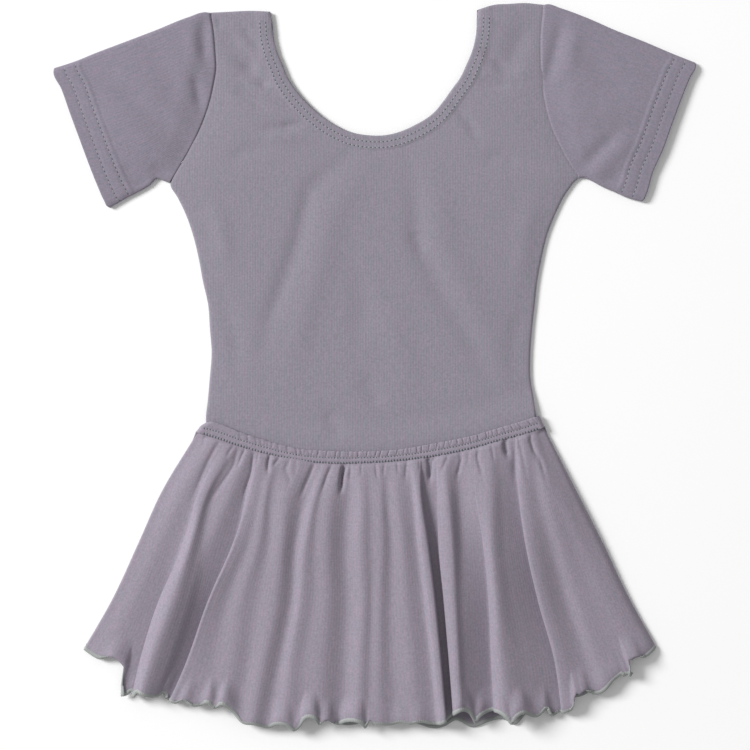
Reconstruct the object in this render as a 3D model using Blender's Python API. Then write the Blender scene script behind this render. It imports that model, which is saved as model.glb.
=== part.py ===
"""Child's short-sleeve leotard with an attached gathered skirt, laid flat on its back.

Sizes are in millimetres. "across" runs to the viewer's right from the middle of the garment,
"drop" runs down from the highest shoulder, and heights stand above the surface that the garment
lies on. The finished meshes are in metres, with the origin on that surface under the middle.
"""
import bisect
import math

import bmesh
import bpy
from mathutils import Vector

MM = 0.001
LENGTH = 415.0          # highest shoulder to lowest hem
CLOTH = 1.0             # wall of the jersey panels
BAND = 1.2              # wall of the doubled elastic casing
GAP = 0.3               # between neighbouring pieces

# Heights of the layers where the casing and the skirt go round the body
BACK_LIFT = BAND + GAP
FRONT_STEP = CLOTH + GAP
SKIRT_BED = BACK_LIFT + 2 * (CLOTH + GAP)
CASING_HEIGHT = SKIRT_BED + BAND
LIFT_RUN = 20.0         # length over which the body rises on to the casing's back

SLEEVE_HEIGHT_AT_ARMHOLE = 2 * CLOTH + GAP
SLEEVE_HEIGHT_AT_CUFF = 2.8
BACK_NECK_DEEPER = 12.0
NECK_DROP = 76.0

RUFFLES = 60            # gathers of the heading across the front
RUFFLE_HEIGHT = 0.55
RUFFLE_DROP = 0.5
GATHER_HEIGHT = 0.3     # share of a fold's rise that is left at the casing
BED_EDGE_RUN = 7.5      # where the skirt front comes down to meet the back at its sides
BRIEF_MARGIN = 4.0      # the skirt front stays up this far beyond the brief,
BRIEF_REACH = 14.0      # and comes down over this length
ABOVE_CASING = 2.0      # rows of the body just above and below the casing
BELOW_CASING = 1.0
HEM_RUN = 14.0          # how far the lettuce waves reach up from the hem
BACK_WAVE = 1.1

# Outline of the body: armhole, side seam, hip and leg opening; columns: drop, left, right
BODY_SIDES = (
    (1.5, -93.0, 96.0),
    (6.0, -93.0, 95.7),
    (17.0, -91.5, 94.7),
    (29.0, -90.5, 94.5),
    (37.0, -90.0, 94.8),
    (47.0, -91.5, 95.5),
    (59.5, -94.5, 97.5),
    (71.5, -99.0, 101.0),
    (83.5, -105.0, 106.5),
    (94.5, -111.5, 112.8),
    (99.5, -114.5, 116.0),
    (103.0, -116.5, 113.5),
    (111.0, -112.5, 108.0),
    (118.0, -109.0, 104.5),
    (131.5, -104.0, 99.0),
    (145.5, -100.5, 95.5),
    (159.0, -98.0, 93.0),
    (172.5, -95.0, 91.5),
    (186.5, -94.0, 90.0),
    (200.0, -93.0, 89.0),
    (213.5, -94.0, 89.0),
    (227.5, -95.2, 91.0),
    (239.0, -96.2, 92.3),
    (250.0, -94.5, 91.5),
    (265.0, -93.0, 91.0),
    (285.0, -92.0, 90.5),
    (303.0, -80.0, 79.0),
    (325.0, -62.0, 61.0),
    (345.0, -45.0, 45.0),
    (362.0, -34.0, 34.0),
    (375.0, -30.0, 30.0),
)
CROTCH_DROP = BODY_SIDES[-1][0]

# Top edge: the shoulder seams and the neck between them; columns: across, drop
LEFT_SHOULDER = ((-93.0, 6.0), (-82.5, 5.5), (-71.0, 5.0), (-59.5, 5.5))
NECK = (
    (-59.5, 5.5), (-58.0, 19.0), (-52.5, 36.0), (-45.5, 49.5), (-32.0, 63.5), (-14.0, 74.0),
    (1.0, NECK_DROP), (14.5, 74.0), (33.5, 63.5), (44.5, 49.5), (52.5, 36.0), (57.5, 22.0),
    (58.8, 4.5),
)
RIGHT_SHOULDER = ((58.8, 4.5), (68.5, 1.5), (77.0, 1.0), (86.0, 0.5), (96.0, 1.5))
UNDERARM_SHARE = 0.443  # the underarm's place between the top edge and the waist

# Sleeves, from the armhole out, whose own points come from the body; columns: across, drop
LEFT_SLEEVE = {
    "top": ((-106.5, 8.5), (-124.0, 15.5), (-159.5, 29.0), (-183.5, 38.0)),
    "cuff": ((-183.5, 38.0), (-173.5, 63.5), (-158.0, 104.5), (-151.5, 117.5)),
    "underarm": ((-123.5, 100.5), (-133.5, 107.5), (-151.5, 117.5)),
}
RIGHT_SLEEVE = {
    "top": ((105.5, 3.0), (120.5, 8.5), (153.0, 22.0), (184.0, 35.0)),
    "cuff": ((184.0, 35.0), (174.5, 56.5), (160.0, 95.0), (153.0, 114.0)),
    "underarm": ((123.0, 101.5), (135.5, 107.5), (153.0, 114.0)),
}

# Elastic casing round the waist; columns: across, top drop, bottom drop
WAIST = (
    (-103.0, 239.0, 246.0),
    (-92.5, 239.3, 249.3),
    (-76.5, 245.0, 254.7),
    (-59.0, 250.7, 259.5),
    (-42.5, 254.7, 262.8),
    (-28.0, 255.8, 264.3),
    (-7.0, 256.2, 264.2),
    (14.5, 255.0, 262.8),
    (36.0, 251.2, 260.0),
    (54.5, 247.5, 256.2),
    (71.5, 242.6, 251.4),
    (86.0, 238.3, 247.5),
    (98.0, 234.3, 243.3),
)
CASING_ENDS = ((-98.5, 94.8), (-101.5, 97.0))   # left and right ends at its top and bottom edge

# Lines of the skirt front's folds. The first six columns say how far across a line lies at the
# casing and at each drop of FOLD_DROPS, the last three how high it rises at RISE_DROPS.
FOLD_DROPS = (280.0, 306.5, 341.0, 375.0, 415.0)
RISE_DROPS = (280.0, 341.0, 400.0)
FOLDS = (
    ("left edge", -101.5, -121.5, -133.5, -149.5, -169.0, -190.5, 0.0, 0.0, 0.0),
    ("left panel", -95.0, -112.5, -123.5, -136.5, -152.0, -166.5, 1.6, 1.8, 2.2),
    ("valley", -88.0, -102.0, -110.5, -122.5, -132.0, -139.0, 0.6, 0.4, 0.2),
    ("ridge", -84.0, -97.5, -106.5, -121.5, -132.5, -142.0, 3.0, 3.8, 4.4),
    ("ridge", -81.0, -94.0, -102.5, -115.5, -125.5, -133.0, 3.2, 4.0, 4.2),
    ("valley", -77.0, -87.5, -98.0, -107.5, -117.5, -123.5, 0.8, 0.4, 0.2),
    ("fold floor", -72.5, -81.0, -91.5, -103.5, -113.0, -119.5, 1.4, 0.8, 0.3),
    ("valley", -68.5, -75.5, -85.0, -98.0, -107.5, -115.0, 1.0, 0.4, 0.1),
    ("ridge", -66.0, -70.5, -78.5, -96.0, -107.0, -117.5, 3.0, 4.2, 5.4),
    ("ridge", -64.0, -68.5, -76.0, -92.0, -101.5, -109.0, 3.4, 4.4, 5.0),
    ("valley", -62.0, -67.0, -74.5, -88.0, -96.0, -100.0, 2.6, 2.8, 3.2),
    ("ridge", -59.5, -63.5, -68.5, -81.0, -89.0, -94.5, 3.4, 4.2, 4.2),
    ("valley", -56.0, -60.5, -64.0, -74.0, -84.5, -92.0, 2.2, 2.4, 2.4),
    ("ridge", -50.0, -54.0, -55.5, -62.5, -68.5, -74.0, 4.0, 4.6, 4.8),
    ("valley", -35.5, -41.0, -47.5, -50.0, -56.0, -66.5, 0.8, 1.0, 1.8),
    ("ridge", -30.5, -35.5, -42.0, -44.5, -49.5, -54.0, 4.2, 4.8, 5.0),
    ("valley", -26.0, -32.5, -37.5, -39.0, -42.0, -44.0, 3.2, 3.4, 3.8),
    ("ridge", -22.0, -26.5, -31.0, -33.5, -34.5, -35.5, 3.8, 4.4, 4.2),
    ("valley", -17.0, -19.5, -22.0, -22.5, -23.0, -24.0, 0.8, 1.0, 1.4),
    ("ridge", -11.5, -12.5, -13.0, -13.0, -13.5, -13.5, 4.2, 4.6, 4.6),
    ("valley", -6.5, -5.5, -5.0, -5.0, -5.0, -5.0, 3.4, 3.6, 3.6),
    ("ridge", -1.0, 0.0, 0.5, -0.5, -1.0, -1.5, 4.0, 4.4, 4.3),
    ("valley", 5.0, 6.0, 7.0, 6.0, 5.5, 8.5, 2.6, 2.8, 2.8),
    ("ridge", 10.0, 9.5, 11.5, 12.5, 15.0, 17.5, 4.2, 4.8, 4.8),
    ("valley", 15.5, 17.5, 21.0, 23.0, 26.0, 29.0, 2.8, 3.0, 3.2),
    ("ridge", 22.0, 23.0, 26.5, 30.5, 34.5, 37.0, 5.0, 5.8, 6.2),
    ("lip", 25.5, 26.5, 30.5, 35.0, 38.5, 41.5, 4.6, 5.4, 6.0),
    ("valley", 31.5, 30.5, 31.5, 35.0, 38.5, 39.5, 0.8, 0.6, 0.4),
    ("ridge", 39.0, 39.5, 41.5, 42.5, 44.5, 46.5, 3.8, 4.6, 5.0),
    ("valley", 48.0, 47.5, 48.0, 50.5, 54.0, 56.5, 1.6, 1.8, 1.6),
    ("fold floor", 56.0, 57.0, 58.0, 60.0, 62.5, 64.0, 2.0, 2.0, 1.6),
    ("ridge", 65.5, 64.5, 64.5, 66.5, 70.5, 76.0, 4.0, 4.8, 5.2),
    ("valley", 74.0, 75.5, 78.0, 79.5, 83.0, 87.0, 1.0, 1.0, 0.8),
    ("fold floor", 79.0, 80.5, 83.5, 88.5, 97.0, 104.0, 1.2, 1.0, 0.8),
    ("ridge", 82.0, 83.5, 87.5, 94.5, 102.5, 107.5, 3.4, 4.2, 4.4),
    ("ridge", 85.0, 86.5, 91.5, 99.5, 108.0, 115.0, 3.6, 4.4, 4.4),
    ("valley", 88.5, 91.5, 95.5, 104.5, 117.0, 129.5, 2.4, 2.2, 2.2),
    ("ridge", 91.0, 96.0, 102.5, 113.0, 127.0, 139.0, 3.4, 3.6, 3.6),
    ("valley", 92.5, 101.0, 109.0, 120.5, 135.0, 148.0, 2.4, 2.6, 2.8),
    ("right panel", 94.5, 106.5, 116.5, 131.0, 147.5, 162.5, 2.2, 2.6, 2.8),
    ("valley", 95.5, 110.5, 123.5, 138.0, 155.5, 170.5, 1.4, 1.6, 1.8),
    ("right edge", 97.0, 115.5, 129.0, 145.5, 164.5, 186.5, 0.0, 0.0, 0.0),
)

# Lettuce hem of the skirt front, a row for each wave's crest or foot; columns: across, drop, rise
FRONT_HEM = (
    (-164.5, 369.0, 0.0), (-154.0, 373.5, 0.4), (-148.5, 373.0, 2.0), (-140.5, 384.0, 1.6),
    (-138.0, 391.0, 0.8), (-127.0, 395.0, 0.4), (-120.5, 393.5, 1.2), (-112.0, 399.0, 0.4),
    (-107.5, 397.5, 1.6), (-102.0, 401.0, 0.4), (-94.0, 398.5, 2.0), (-91.0, 400.5, 0.6),
    (-86.0, 399.5, 2.2), (-79.0, 408.0, 0.8), (-68.0, 412.5, 0.4), (-60.0, 413.5, 0.8),
    (-52.0, 411.0, 2.0), (-46.0, 415.0, 0.4), (-38.0, 407.0, 3.0), (-32.0, 411.0, 0.6),
    (-26.5, 408.0, 2.4), (-20.0, 411.0, 0.8), (-12.0, 409.5, 2.0), (-5.0, 411.5, 0.6),
    (2.0, 411.0, 1.0), (9.5, 410.5, 1.6), (18.0, 410.0, 0.8), (26.0, 410.0, 0.8),
    (36.0, 411.0, 0.5), (41.5, 408.5, 1.2), (50.0, 403.5, 3.0), (57.5, 410.0, 0.6),
    (68.0, 404.0, 3.0), (77.5, 410.0, 0.6), (84.0, 404.5, 3.0), (91.0, 407.0, 0.8),
    (98.0, 403.0, 1.2), (105.0, 405.0, 0.5), (112.0, 400.0, 1.0), (118.0, 393.0, 2.0),
    (127.0, 394.5, 0.5), (137.0, 385.0, 0.6), (143.5, 380.0, 1.2), (145.5, 373.5, 2.4),
    (152.0, 373.0, 0.6), (162.0, 365.5, 0.0),
)
# Hem of the skirt back; the same columns
BACK_HEM = (
    (-164.0, 368.0, 0.0), (-150.0, 371.0, 0.6), (-138.0, 380.0, 0.2), (-130.0, 388.0, 0.9),
    (-115.0, 394.0, 0.2), (-100.0, 398.0, 1.0), (-85.0, 399.0, 0.1), (-75.0, 406.0, 0.8),
    (-68.0, 412.5, 0.1), (-60.0, 409.0, 1.0), (-48.0, 409.0, 0.2), (-38.0, 405.0, 1.0),
    (-28.0, 407.0, 0.2), (-20.0, 411.5, 0.9), (-11.0, 412.0, 0.1), (-3.0, 409.0, 1.0),
    (8.0, 409.0, 0.1), (18.0, 409.5, 1.0), (26.0, 412.0, 0.2), (33.0, 414.0, 0.8),
    (40.0, 413.0, 0.1), (46.0, 409.5, 1.0), (56.0, 413.5, 0.2), (66.0, 410.0, 1.0),
    (74.0, 409.0, 0.1), (80.0, 412.0, 0.8), (88.0, 404.5, 0.1), (98.0, 402.0, 1.0),
    (106.0, 402.5, 0.1), (113.0, 397.0, 0.9), (119.0, 395.5, 0.1), (127.0, 390.0, 1.0),
    (136.0, 384.0, 0.1), (145.0, 374.0, 0.8), (161.5, 364.5, 0.0),
)

# Rows of the body's mesh as shares of the way down, above the casing and in the brief
ARMHOLE_SHARES = (0.0, 0.08, 0.16, 0.24, 0.31, 0.38, UNDERARM_SHARE)
UPPER_SHARES = ARMHOLE_SHARES + (0.5, 0.57, 0.66, 0.76, 0.88, 1.0)
BRIEF_SHARES = (0.0, 0.08, 0.2, 0.38, 0.56, 0.74, 0.88, 1.0)
FRONT_SKIRT_SHARES = (0.0, 0.05, 0.14, 0.3, 0.47, 0.64, 0.8, 0.91, 0.965, 1.0)
BACK_SKIRT_SHARES = (0.0, 0.15, 0.35, 0.58, 0.8, 0.95, 1.0)
SHOULDER_CELLS = 4
NECK_CELLS = 18
CELLS_PER_FOLD = 3


class Curve:
    """A smooth curve through rows of numbers that stand at rising keys."""

    def __init__(self, keys, rows):
        self.keys = list(keys)
        self.rows = [tuple(row) for row in rows]
        steps = [
            [(b - a) / (self.keys[i + 1] - self.keys[i]) for a, b in zip(self.rows[i], self.rows[i + 1])]
            for i in range(len(rows) - 1)
        ]
        self.slopes = [steps[0]]
        for i in range(1, len(steps)):
            before = self.keys[i] - self.keys[i - 1]
            after = self.keys[i + 1] - self.keys[i]
            self.slopes.append([
                (a * after + b * before) / (before + after) for a, b in zip(steps[i - 1], steps[i])
            ])
        self.slopes.append(steps[-1])

    def at(self, key):
        """The row of numbers at a key, held at the first and the last one."""
        key = min(max(key, self.keys[0]), self.keys[-1])
        i = min(bisect.bisect_right(self.keys, key) - 1, len(self.keys) - 2)
        span = self.keys[i + 1] - self.keys[i]
        t = (key - self.keys[i]) / span
        start = (1 + 2 * t) * (1 - t) ** 2
        start_slope = t * (1 - t) ** 2 * span
        end_slope = t * t * (t - 1) * span
        return [
            start * a + start_slope * sa + (1 - start) * b + end_slope * sb
            for a, sa, b, sb in zip(self.rows[i], self.slopes[i], self.rows[i + 1], self.slopes[i + 1])
        ]


def route(points):
    """A curve through flat points, keyed by the share of the way along them."""
    lengths = [0.0]
    for start, end in zip(points, points[1:]):
        lengths.append(lengths[-1] + math.dist(start, end))
    return Curve([length / lengths[-1] for length in lengths], points)


def by_column(rows):
    """A curve keyed by the rows' first column."""
    return Curve([row[0] for row in rows], [row[1:] for row in rows])


def eased(share):
    """A smooth step from 0 to 1 while share goes from 0 to 1."""
    share = min(max(share, 0.0), 1.0)
    return share * share * (3 - 2 * share)


SIDES = by_column(BODY_SIDES)
CASING = by_column(WAIST)
FRONT_HEM_LINE = by_column(FRONT_HEM)
BACK_HEM_LINE = by_column(BACK_HEM)


def cloth(name, place, columns, rows, ring=False):
    """One closed wall of cloth, set by place(i, j, outside) at column i, row j and each face."""
    mesh = bmesh.new()
    bmesh.ops.create_grid(mesh, x_segments=columns, y_segments=rows, size=0.5)
    column = mesh.verts.layers.int.new("column")
    row = mesh.verts.layers.int.new("row")
    outside = mesh.verts.layers.int.new("outside")
    for vert in mesh.verts:
        vert[column] = round((vert.co.x + 0.5) * columns)
        vert[row] = round((vert.co.y + 0.5) * rows)
        if ring:
            vert[column] %= columns
            turn = math.tau * vert[column] / columns
            vert.co = Vector((math.cos(turn), math.sin(turn), vert[row] / rows))
    if ring:
        bmesh.ops.remove_doubles(mesh, verts=mesh.verts[:], dist=1e-5)
    under = set(mesh.verts)
    bmesh.ops.extrude_face_region(mesh, geom=mesh.faces[:])
    for vert in mesh.verts:
        vert[outside] = 0 if vert in under else 1
    for vert in mesh.verts:
        across, drop, height = place(vert[column], vert[row], vert[outside])
        vert.co = Vector((across, LENGTH / 2 - drop, height)) * MM
    bmesh.ops.recalc_face_normals(mesh, faces=mesh.faces[:])
    return to_object(name, mesh)


def to_object(name, mesh):
    """Turn a bmesh into a named object in the garment's collection."""
    data = bpy.data.meshes.new(name)
    mesh.to_mesh(data)
    mesh.free()
    piece = bpy.data.objects.new(name, data)
    garment.objects.link(piece)
    data.shade_smooth()
    data.set_sharp_from_angle(angle=math.radians(50))
    return piece


def top_edge(column, deeper):
    """Point of the shoulders and the neck at a column of the body; deeper lowers the neck."""
    if column < SHOULDER_CELLS:
        return route(LEFT_SHOULDER).at(column / SHOULDER_CELLS)
    column -= SHOULDER_CELLS
    if column <= NECK_CELLS:
        across, drop = route(NECK).at(column / NECK_CELLS)
        shoulder_drop = NECK[0][1]
        return across, drop + deeper * max(drop - shoulder_drop, 0.0) / (NECK_DROP - shoulder_drop)
    return route(RIGHT_SHOULDER).at((column - NECK_CELLS) / SHOULDER_CELLS)


def upper_drop(start, waist_top, share):
    """Drop at a share of the way from the top edge to where the body starts to rise."""
    return start + (waist_top - LIFT_RUN - start) * share


def armhole_points(side):
    """The body's own points down one armhole, moved out by the seam's gap; side 0 left, 1 right."""
    start = (LEFT_SHOULDER[0], RIGHT_SHOULDER[-1])[side]
    outward = (-1, 1)[side]
    waist_top = CASING.at(SIDES.at(start[1])[side])[0]
    drops = [upper_drop(start[1], waist_top, share) for share in ARMHOLE_SHARES]
    points = [(SIDES.at(drop)[side], drop) for drop in drops]
    moved = []
    for k, (across, drop) in enumerate(points):
        before, after = points[max(k - 1, 0)], points[min(k + 1, len(points) - 1)]
        run, fall = after[0] - before[0], after[1] - before[1]
        length = math.hypot(run, fall)
        moved.append((across + outward * GAP * fall / length, drop - outward * GAP * run / length))
    return moved


def body_panel(name, base, deeper):
    """A body panel from the shoulders to the crotch; it rises where the casing passes under it."""
    columns = 2 * SHOULDER_CELLS + NECK_CELLS
    casing_row = len(UPPER_SHARES)
    rows = casing_row + len(BRIEF_SHARES)

    def place(i, j, outside):
        across, start = top_edge(i, deeper)
        left, right = SIDES.at(start)
        share = (across - left) / (right - left)
        waist_top, waist_bottom = CASING.at(across)
        lift = BACK_LIFT
        if j < casing_row:
            drop = upper_drop(start, waist_top, UPPER_SHARES[j])
            lift = 0.0
        elif j == casing_row:
            drop = waist_top - ABOVE_CASING
        else:
            brief_top = waist_bottom + BELOW_CASING
            drop = brief_top + (CROTCH_DROP - brief_top) * BRIEF_SHARES[j - casing_row - 1]
        left, right = SIDES.at(drop)
        return left + (right - left) * share, drop, base + lift + CLOTH * outside

    return cloth(name, place, columns, rows)


def part_of_ring(cell, cells):
    """The part of a flattened ring that a cell number falls in, and the share of the way along it.

    The parts are the front, the far end, the back, which runs the other way, and the near end."""
    part = 0
    while cell >= cells[part]:
        cell -= cells[part]
        part += 1
    return part, cell / cells[part]


def place_on_ring(part, along, near, far, middle, radius):
    """Across and height on a flattened ring whose round ends are centred at near and far."""
    turn = math.pi * along
    return (
        (near + (far - near) * along, middle + radius),
        (far + radius * math.sin(turn), middle + radius * math.cos(turn)),
        (far + (near - far) * along, middle - radius),
        (near - radius * math.sin(turn), middle - radius * math.cos(turn)),
    )[part]


def sleeve(name, edges, side):
    """A set-in sleeve: a flattened tube from the armhole to the cuff, folded along its top."""
    seam = armhole_points(side)
    top = route((seam[0],) + edges["top"])
    underarm = route((seam[-1],) + edges["underarm"])
    cuff = route(edges["cuff"])
    lengths = [0.0]
    for start, end in zip(seam, seam[1:]):
        lengths.append(lengths[-1] + math.dist(start, end))
    seam_shares = [length / lengths[-1] for length in lengths]
    flat_cells, end_cells, rows = 2 * (len(seam) - 1), 3, 5

    def armhole(s):
        """Point of the armhole's straight-sided outline at a share of its length."""
        k = min(bisect.bisect_right(seam_shares, s) - 1, len(seam) - 2)
        t = (s - seam_shares[k]) / (seam_shares[k + 1] - seam_shares[k])
        return [a + (b - a) * t for a, b in zip(seam[k], seam[k + 1])]

    def flat_share(cell):
        """Share of the sleeve's depth at a cell of its flat stretch, two cells for each seam point."""
        k = min(int(cell / 2), len(seam) - 2)
        return seam_shares[k] + (seam_shares[k + 1] - seam_shares[k]) * (cell / 2 - k)

    def flat(s, v):
        """The patch between the four edges; s runs from the top fold to the underarm."""
        near, far, start, end = armhole(s), cuff.at(s), top.at(v), underarm.at(v)
        corners = (seam[0], seam[-1], cuff.at(0.0), cuff.at(1.0))
        return [
            (1 - v) * near[k] + v * far[k] + (1 - s) * start[k] + s * end[k]
            - (1 - v) * ((1 - s) * corners[0][k] + s * corners[1][k])
            - v * ((1 - s) * corners[2][k] + s * corners[3][k])
            for k in (0, 1)
        ]

    def place(i, j, outside):
        v = j / rows
        height = SLEEVE_HEIGHT_AT_ARMHOLE + (SLEEVE_HEIGHT_AT_CUFF - SLEEVE_HEIGHT_AT_ARMHOLE) * v
        width = math.dist(top.at(v), underarm.at(v))
        middle = height / 2
        radius = middle if outside else middle - CLOTH
        part, along = part_of_ring(i, (flat_cells, end_cells, flat_cells, end_cells))
        if part in (0, 2):
            along = flat_share(along * flat_cells) if part == 0 else 1 - flat_share((1 - along) * flat_cells)
        reach, rise = place_on_ring(part, along, middle, width - middle, middle, radius)
        across, drop = flat(min(max(reach / width, 0.0), 1.0), v)
        return across, drop, rise

    return cloth(name, place, 2 * (flat_cells + end_cells), rows, ring=True)


def casing():
    """The gathered elastic casing: a flattened ring round the body with a ruffled top edge."""
    cells_per_ruffle = 4
    cells = (cells_per_ruffle * RUFFLES, 6, RUFFLES, 6)
    rows = 2
    middle = CASING_HEIGHT / 2

    def place(i, j, outside):
        v = j / rows
        left, right = [a + (b - a) * v for a, b in zip(*CASING_ENDS)]
        radius = middle if outside else middle - BAND
        part, along = part_of_ring(i, cells)
        across, rise = place_on_ring(part, along, left + middle, right - middle, middle, radius)
        ruffle = 0.0
        if part == 0 and outside:
            ruffle = math.sin(math.tau * (i + 0.5) / cells_per_ruffle) * (1 - v) ** 2
            ruffle *= eased(min(i, cells[0] - i) / (2 * cells_per_ruffle))
        top, bottom = CASING.at(across)
        drop = top + (bottom - top) * v - RUFFLE_DROP * ruffle
        return across, drop, rise + RUFFLE_HEIGHT * ruffle

    return cloth("skirt_casing", place, sum(cells), rows, ring=True)


def skirt_bed(across, drop, half_gap):
    """Height that the skirt front's under face may come down to, over the brief and beside it."""
    left, right = SIDES.at(drop)
    beside = max(left - across, across - right, drop - CROTCH_DROP)
    over_brief = 1 - eased((beside - BRIEF_MARGIN) / BRIEF_REACH)
    at_edge = CLOTH + GAP
    edge_share = eased(half_gap / BED_EDGE_RUN)
    return at_edge + (BACK_WAVE + (SKIRT_BED - at_edge - BACK_WAVE) * over_brief) * edge_share


class FoldLine:
    """One line of the fold table: how far across it lies and how high it rises at any drop."""

    def __init__(self, row):
        self.at_casing = row[1]
        self.top = CASING.at(row[1])[1] + GAP
        self.across = Curve((self.top,) + FOLD_DROPS, [(value,) for value in row[1:7]])
        self.rise = Curve(
            (self.top,) + RISE_DROPS, [(row[7] * GATHER_HEIGHT,)] + [(value,) for value in row[7:]]
        )


LINES = [FoldLine(row) for row in FOLDS]
AT_CASING = Curve(range(len(LINES)), [(line.at_casing,) for line in LINES])


def fold_at(number, drop):
    """Across and rise of the skirt front at a fold line's number, whole or between, at a drop."""
    first = min(max(int(number), 0), len(LINES) - 2)
    reach = range(max(first - 1, 0), min(first + 3, len(LINES)))
    rows = [(LINES[k].across.at(drop)[0], LINES[k].rise.at(drop)[0]) for k in reach]
    return Curve(reach, rows).at(number)


def skirt_front_middle(number, share):
    """Middle of the skirt front's wall at a fold line's number and a share of the way down."""
    top = CASING.at(AT_CASING.at(number)[0])[1] + GAP
    hem = FRONT_HEM[0][1]
    for _ in range(4):
        hem, flutter = FRONT_HEM_LINE.at(fold_at(number, hem)[0])
    drop = top + (hem - top) * share
    across, rise = fold_at(number, drop)
    side_gap = min(abs(across - LINES[0].across.at(drop)[0]), abs(across - LINES[-1].across.at(drop)[0]))
    rise += flutter * eased((drop - hem) / HEM_RUN + 1)
    return Vector((across, drop, skirt_bed(across, drop, side_gap) + CLOTH / 2 + rise))


def skirt_front():
    """The gathered skirt front, its folds read from the table and its wall set square to them."""
    last = len(LINES) - 1
    rows = len(FRONT_SKIRT_SHARES) - 1
    step = 0.04

    def place(i, j, outside):
        number, share = i / CELLS_PER_FOLD, FRONT_SKIRT_SHARES[j]
        here = skirt_front_middle(number, share)
        sideways = skirt_front_middle(min(number + step, last), share)
        sideways -= skirt_front_middle(max(number - step, 0.0), share)
        downwards = skirt_front_middle(number, min(share + step, 1.0))
        downwards -= skirt_front_middle(number, max(share - step, 0.0))
        square = sideways.cross(downwards)
        if j == 0:
            square.y = 0.0      # the top edge faces the casing squarely
        return here + square.normalized() * CLOTH * (outside - 0.5)

    return cloth("skirt_front", place, last * CELLS_PER_FOLD, rows)


def skirt_back():
    """The skirt back, flat on the surface, with its hem's waves."""
    rows = len(BACK_SKIRT_SHARES) - 1
    columns = 2 * (len(BACK_HEM) - 1)

    def place(i, j, outside):
        s = i / columns
        top_across = CASING_ENDS[1][0] + (CASING_ENDS[1][1] - CASING_ENDS[1][0]) * s
        top = CASING.at(top_across)[1] + GAP
        hem_across = BACK_HEM[0][0] + (BACK_HEM[-1][0] - BACK_HEM[0][0]) * s
        hem, wave = BACK_HEM_LINE.at(hem_across)
        drop = top + (hem - top) * BACK_SKIRT_SHARES[j]
        left = LINES[0].across.at(drop)[0]
        right = LINES[-1].across.at(drop)[0]
        rise = wave * BACK_WAVE * eased((drop - hem) / HEM_RUN + 1)
        return left + (right - left) * s, drop, rise + CLOTH * outside

    return cloth("skirt_back", place, columns, rows)


def jersey(name, colour):
    """Matte knitted cloth in one colour, given as linear red, green and blue."""
    finish = bpy.data.materials.new(name)
    finish.use_nodes = True
    shader = finish.node_tree.nodes["Principled BSDF"]
    shader.inputs["Base Color"].default_value = (*colour, 1.0)
    shader.inputs["Roughness"].default_value = 0.85
    shader.inputs["Metallic"].default_value = 0.0
    return finish


def build_leotard():
    """Make every piece and give each its own cloth."""
    back = body_panel("back_panel", 0.0, BACK_NECK_DEEPER)
    front = body_panel("front_panel", FRONT_STEP, 0.0)
    pieces = [
        back, front, sleeve("sleeve_left", LEFT_SLEEVE, 0), sleeve("sleeve_right", RIGHT_SLEEVE, 1),
        casing(), skirt_front(), skirt_back(),
    ]
    tones = {
        "back_panel": (0.25, 0.23, 0.28), "front_panel": (0.28, 0.255, 0.305),
        "skirt_casing": (0.3, 0.27, 0.32), "skirt_back": (0.25, 0.23, 0.28),
    }
    for piece in pieces:
        tone = tones.get(piece.name, (0.29, 0.265, 0.31))
        piece.data.materials.append(jersey(f"{piece.name}_jersey", tone))


for old in list(bpy.data.objects):
    bpy.data.objects.remove(old, do_unlink=True)
garment = bpy.data.collections.new("short_sleeve_leotard")
bpy.context.scene.collection.children.link(garment)
build_leotard()
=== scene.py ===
# %% [markdown]
# A child's short-sleeve leotard with an attached skirt, laid flat on its back and seen from
# straight above. The real one is cut from dusty mauve cotton jersey: a front, a back, two set-in
# sleeves, an elastic waist casing and a gathered skirt with a lettuce hem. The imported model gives
# each of these as a plain solid. Here each gets its thin cloth, its creases, its seams and its
# thread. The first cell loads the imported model, which nothing below moves or resizes.

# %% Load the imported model
import math

import bpy
import numpy as np
from mathutils import Matrix, Vector


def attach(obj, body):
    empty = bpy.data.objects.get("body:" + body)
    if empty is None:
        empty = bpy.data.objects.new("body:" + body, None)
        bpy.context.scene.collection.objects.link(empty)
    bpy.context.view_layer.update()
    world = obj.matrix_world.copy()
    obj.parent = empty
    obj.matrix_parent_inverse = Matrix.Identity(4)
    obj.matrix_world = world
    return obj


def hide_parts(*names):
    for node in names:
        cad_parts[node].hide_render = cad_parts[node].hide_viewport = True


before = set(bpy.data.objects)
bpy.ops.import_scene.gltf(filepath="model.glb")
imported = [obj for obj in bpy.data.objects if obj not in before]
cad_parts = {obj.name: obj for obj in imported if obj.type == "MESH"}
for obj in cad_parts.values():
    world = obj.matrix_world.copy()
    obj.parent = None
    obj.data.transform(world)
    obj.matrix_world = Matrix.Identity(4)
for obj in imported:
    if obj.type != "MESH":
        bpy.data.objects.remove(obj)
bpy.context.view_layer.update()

# %% [markdown]
# The garment was measured in millimetres: across from its middle, drop down from the highest
# shoulder, and height over the floor. All shapes are worked out in those terms, and one function
# turns them into Blender's metres.

# %% Measures of the garment
MM = 0.001
LENGTH = 415.0          # highest shoulder to lowest hem
CLOTH = 1.0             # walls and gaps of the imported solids
BAND = 1.2
GAP = 0.3
WALL = 0.75             # the cloth that is modelled here
BACK_LIFT = BAND + GAP
SKIRT_BED = BACK_LIFT + 2 * (CLOTH + GAP)
BACK_MIDDLE = CLOTH / 2
FRONT_MIDDLE = BACK_MIDDLE + CLOTH + GAP
SEAM_MIDDLE = (BACK_MIDDLE + FRONT_MIDDLE) / 2


def to_metres(across, drop, height):
    """Points in the garment's own terms as an array of places in metres."""
    return np.stack([across, LENGTH / 2 - drop, height], axis=-1) * MM


print("cloth of the front lies", FRONT_MIDDLE, "mm up, that of the back", BACK_MIDDLE, "mm up")

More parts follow.
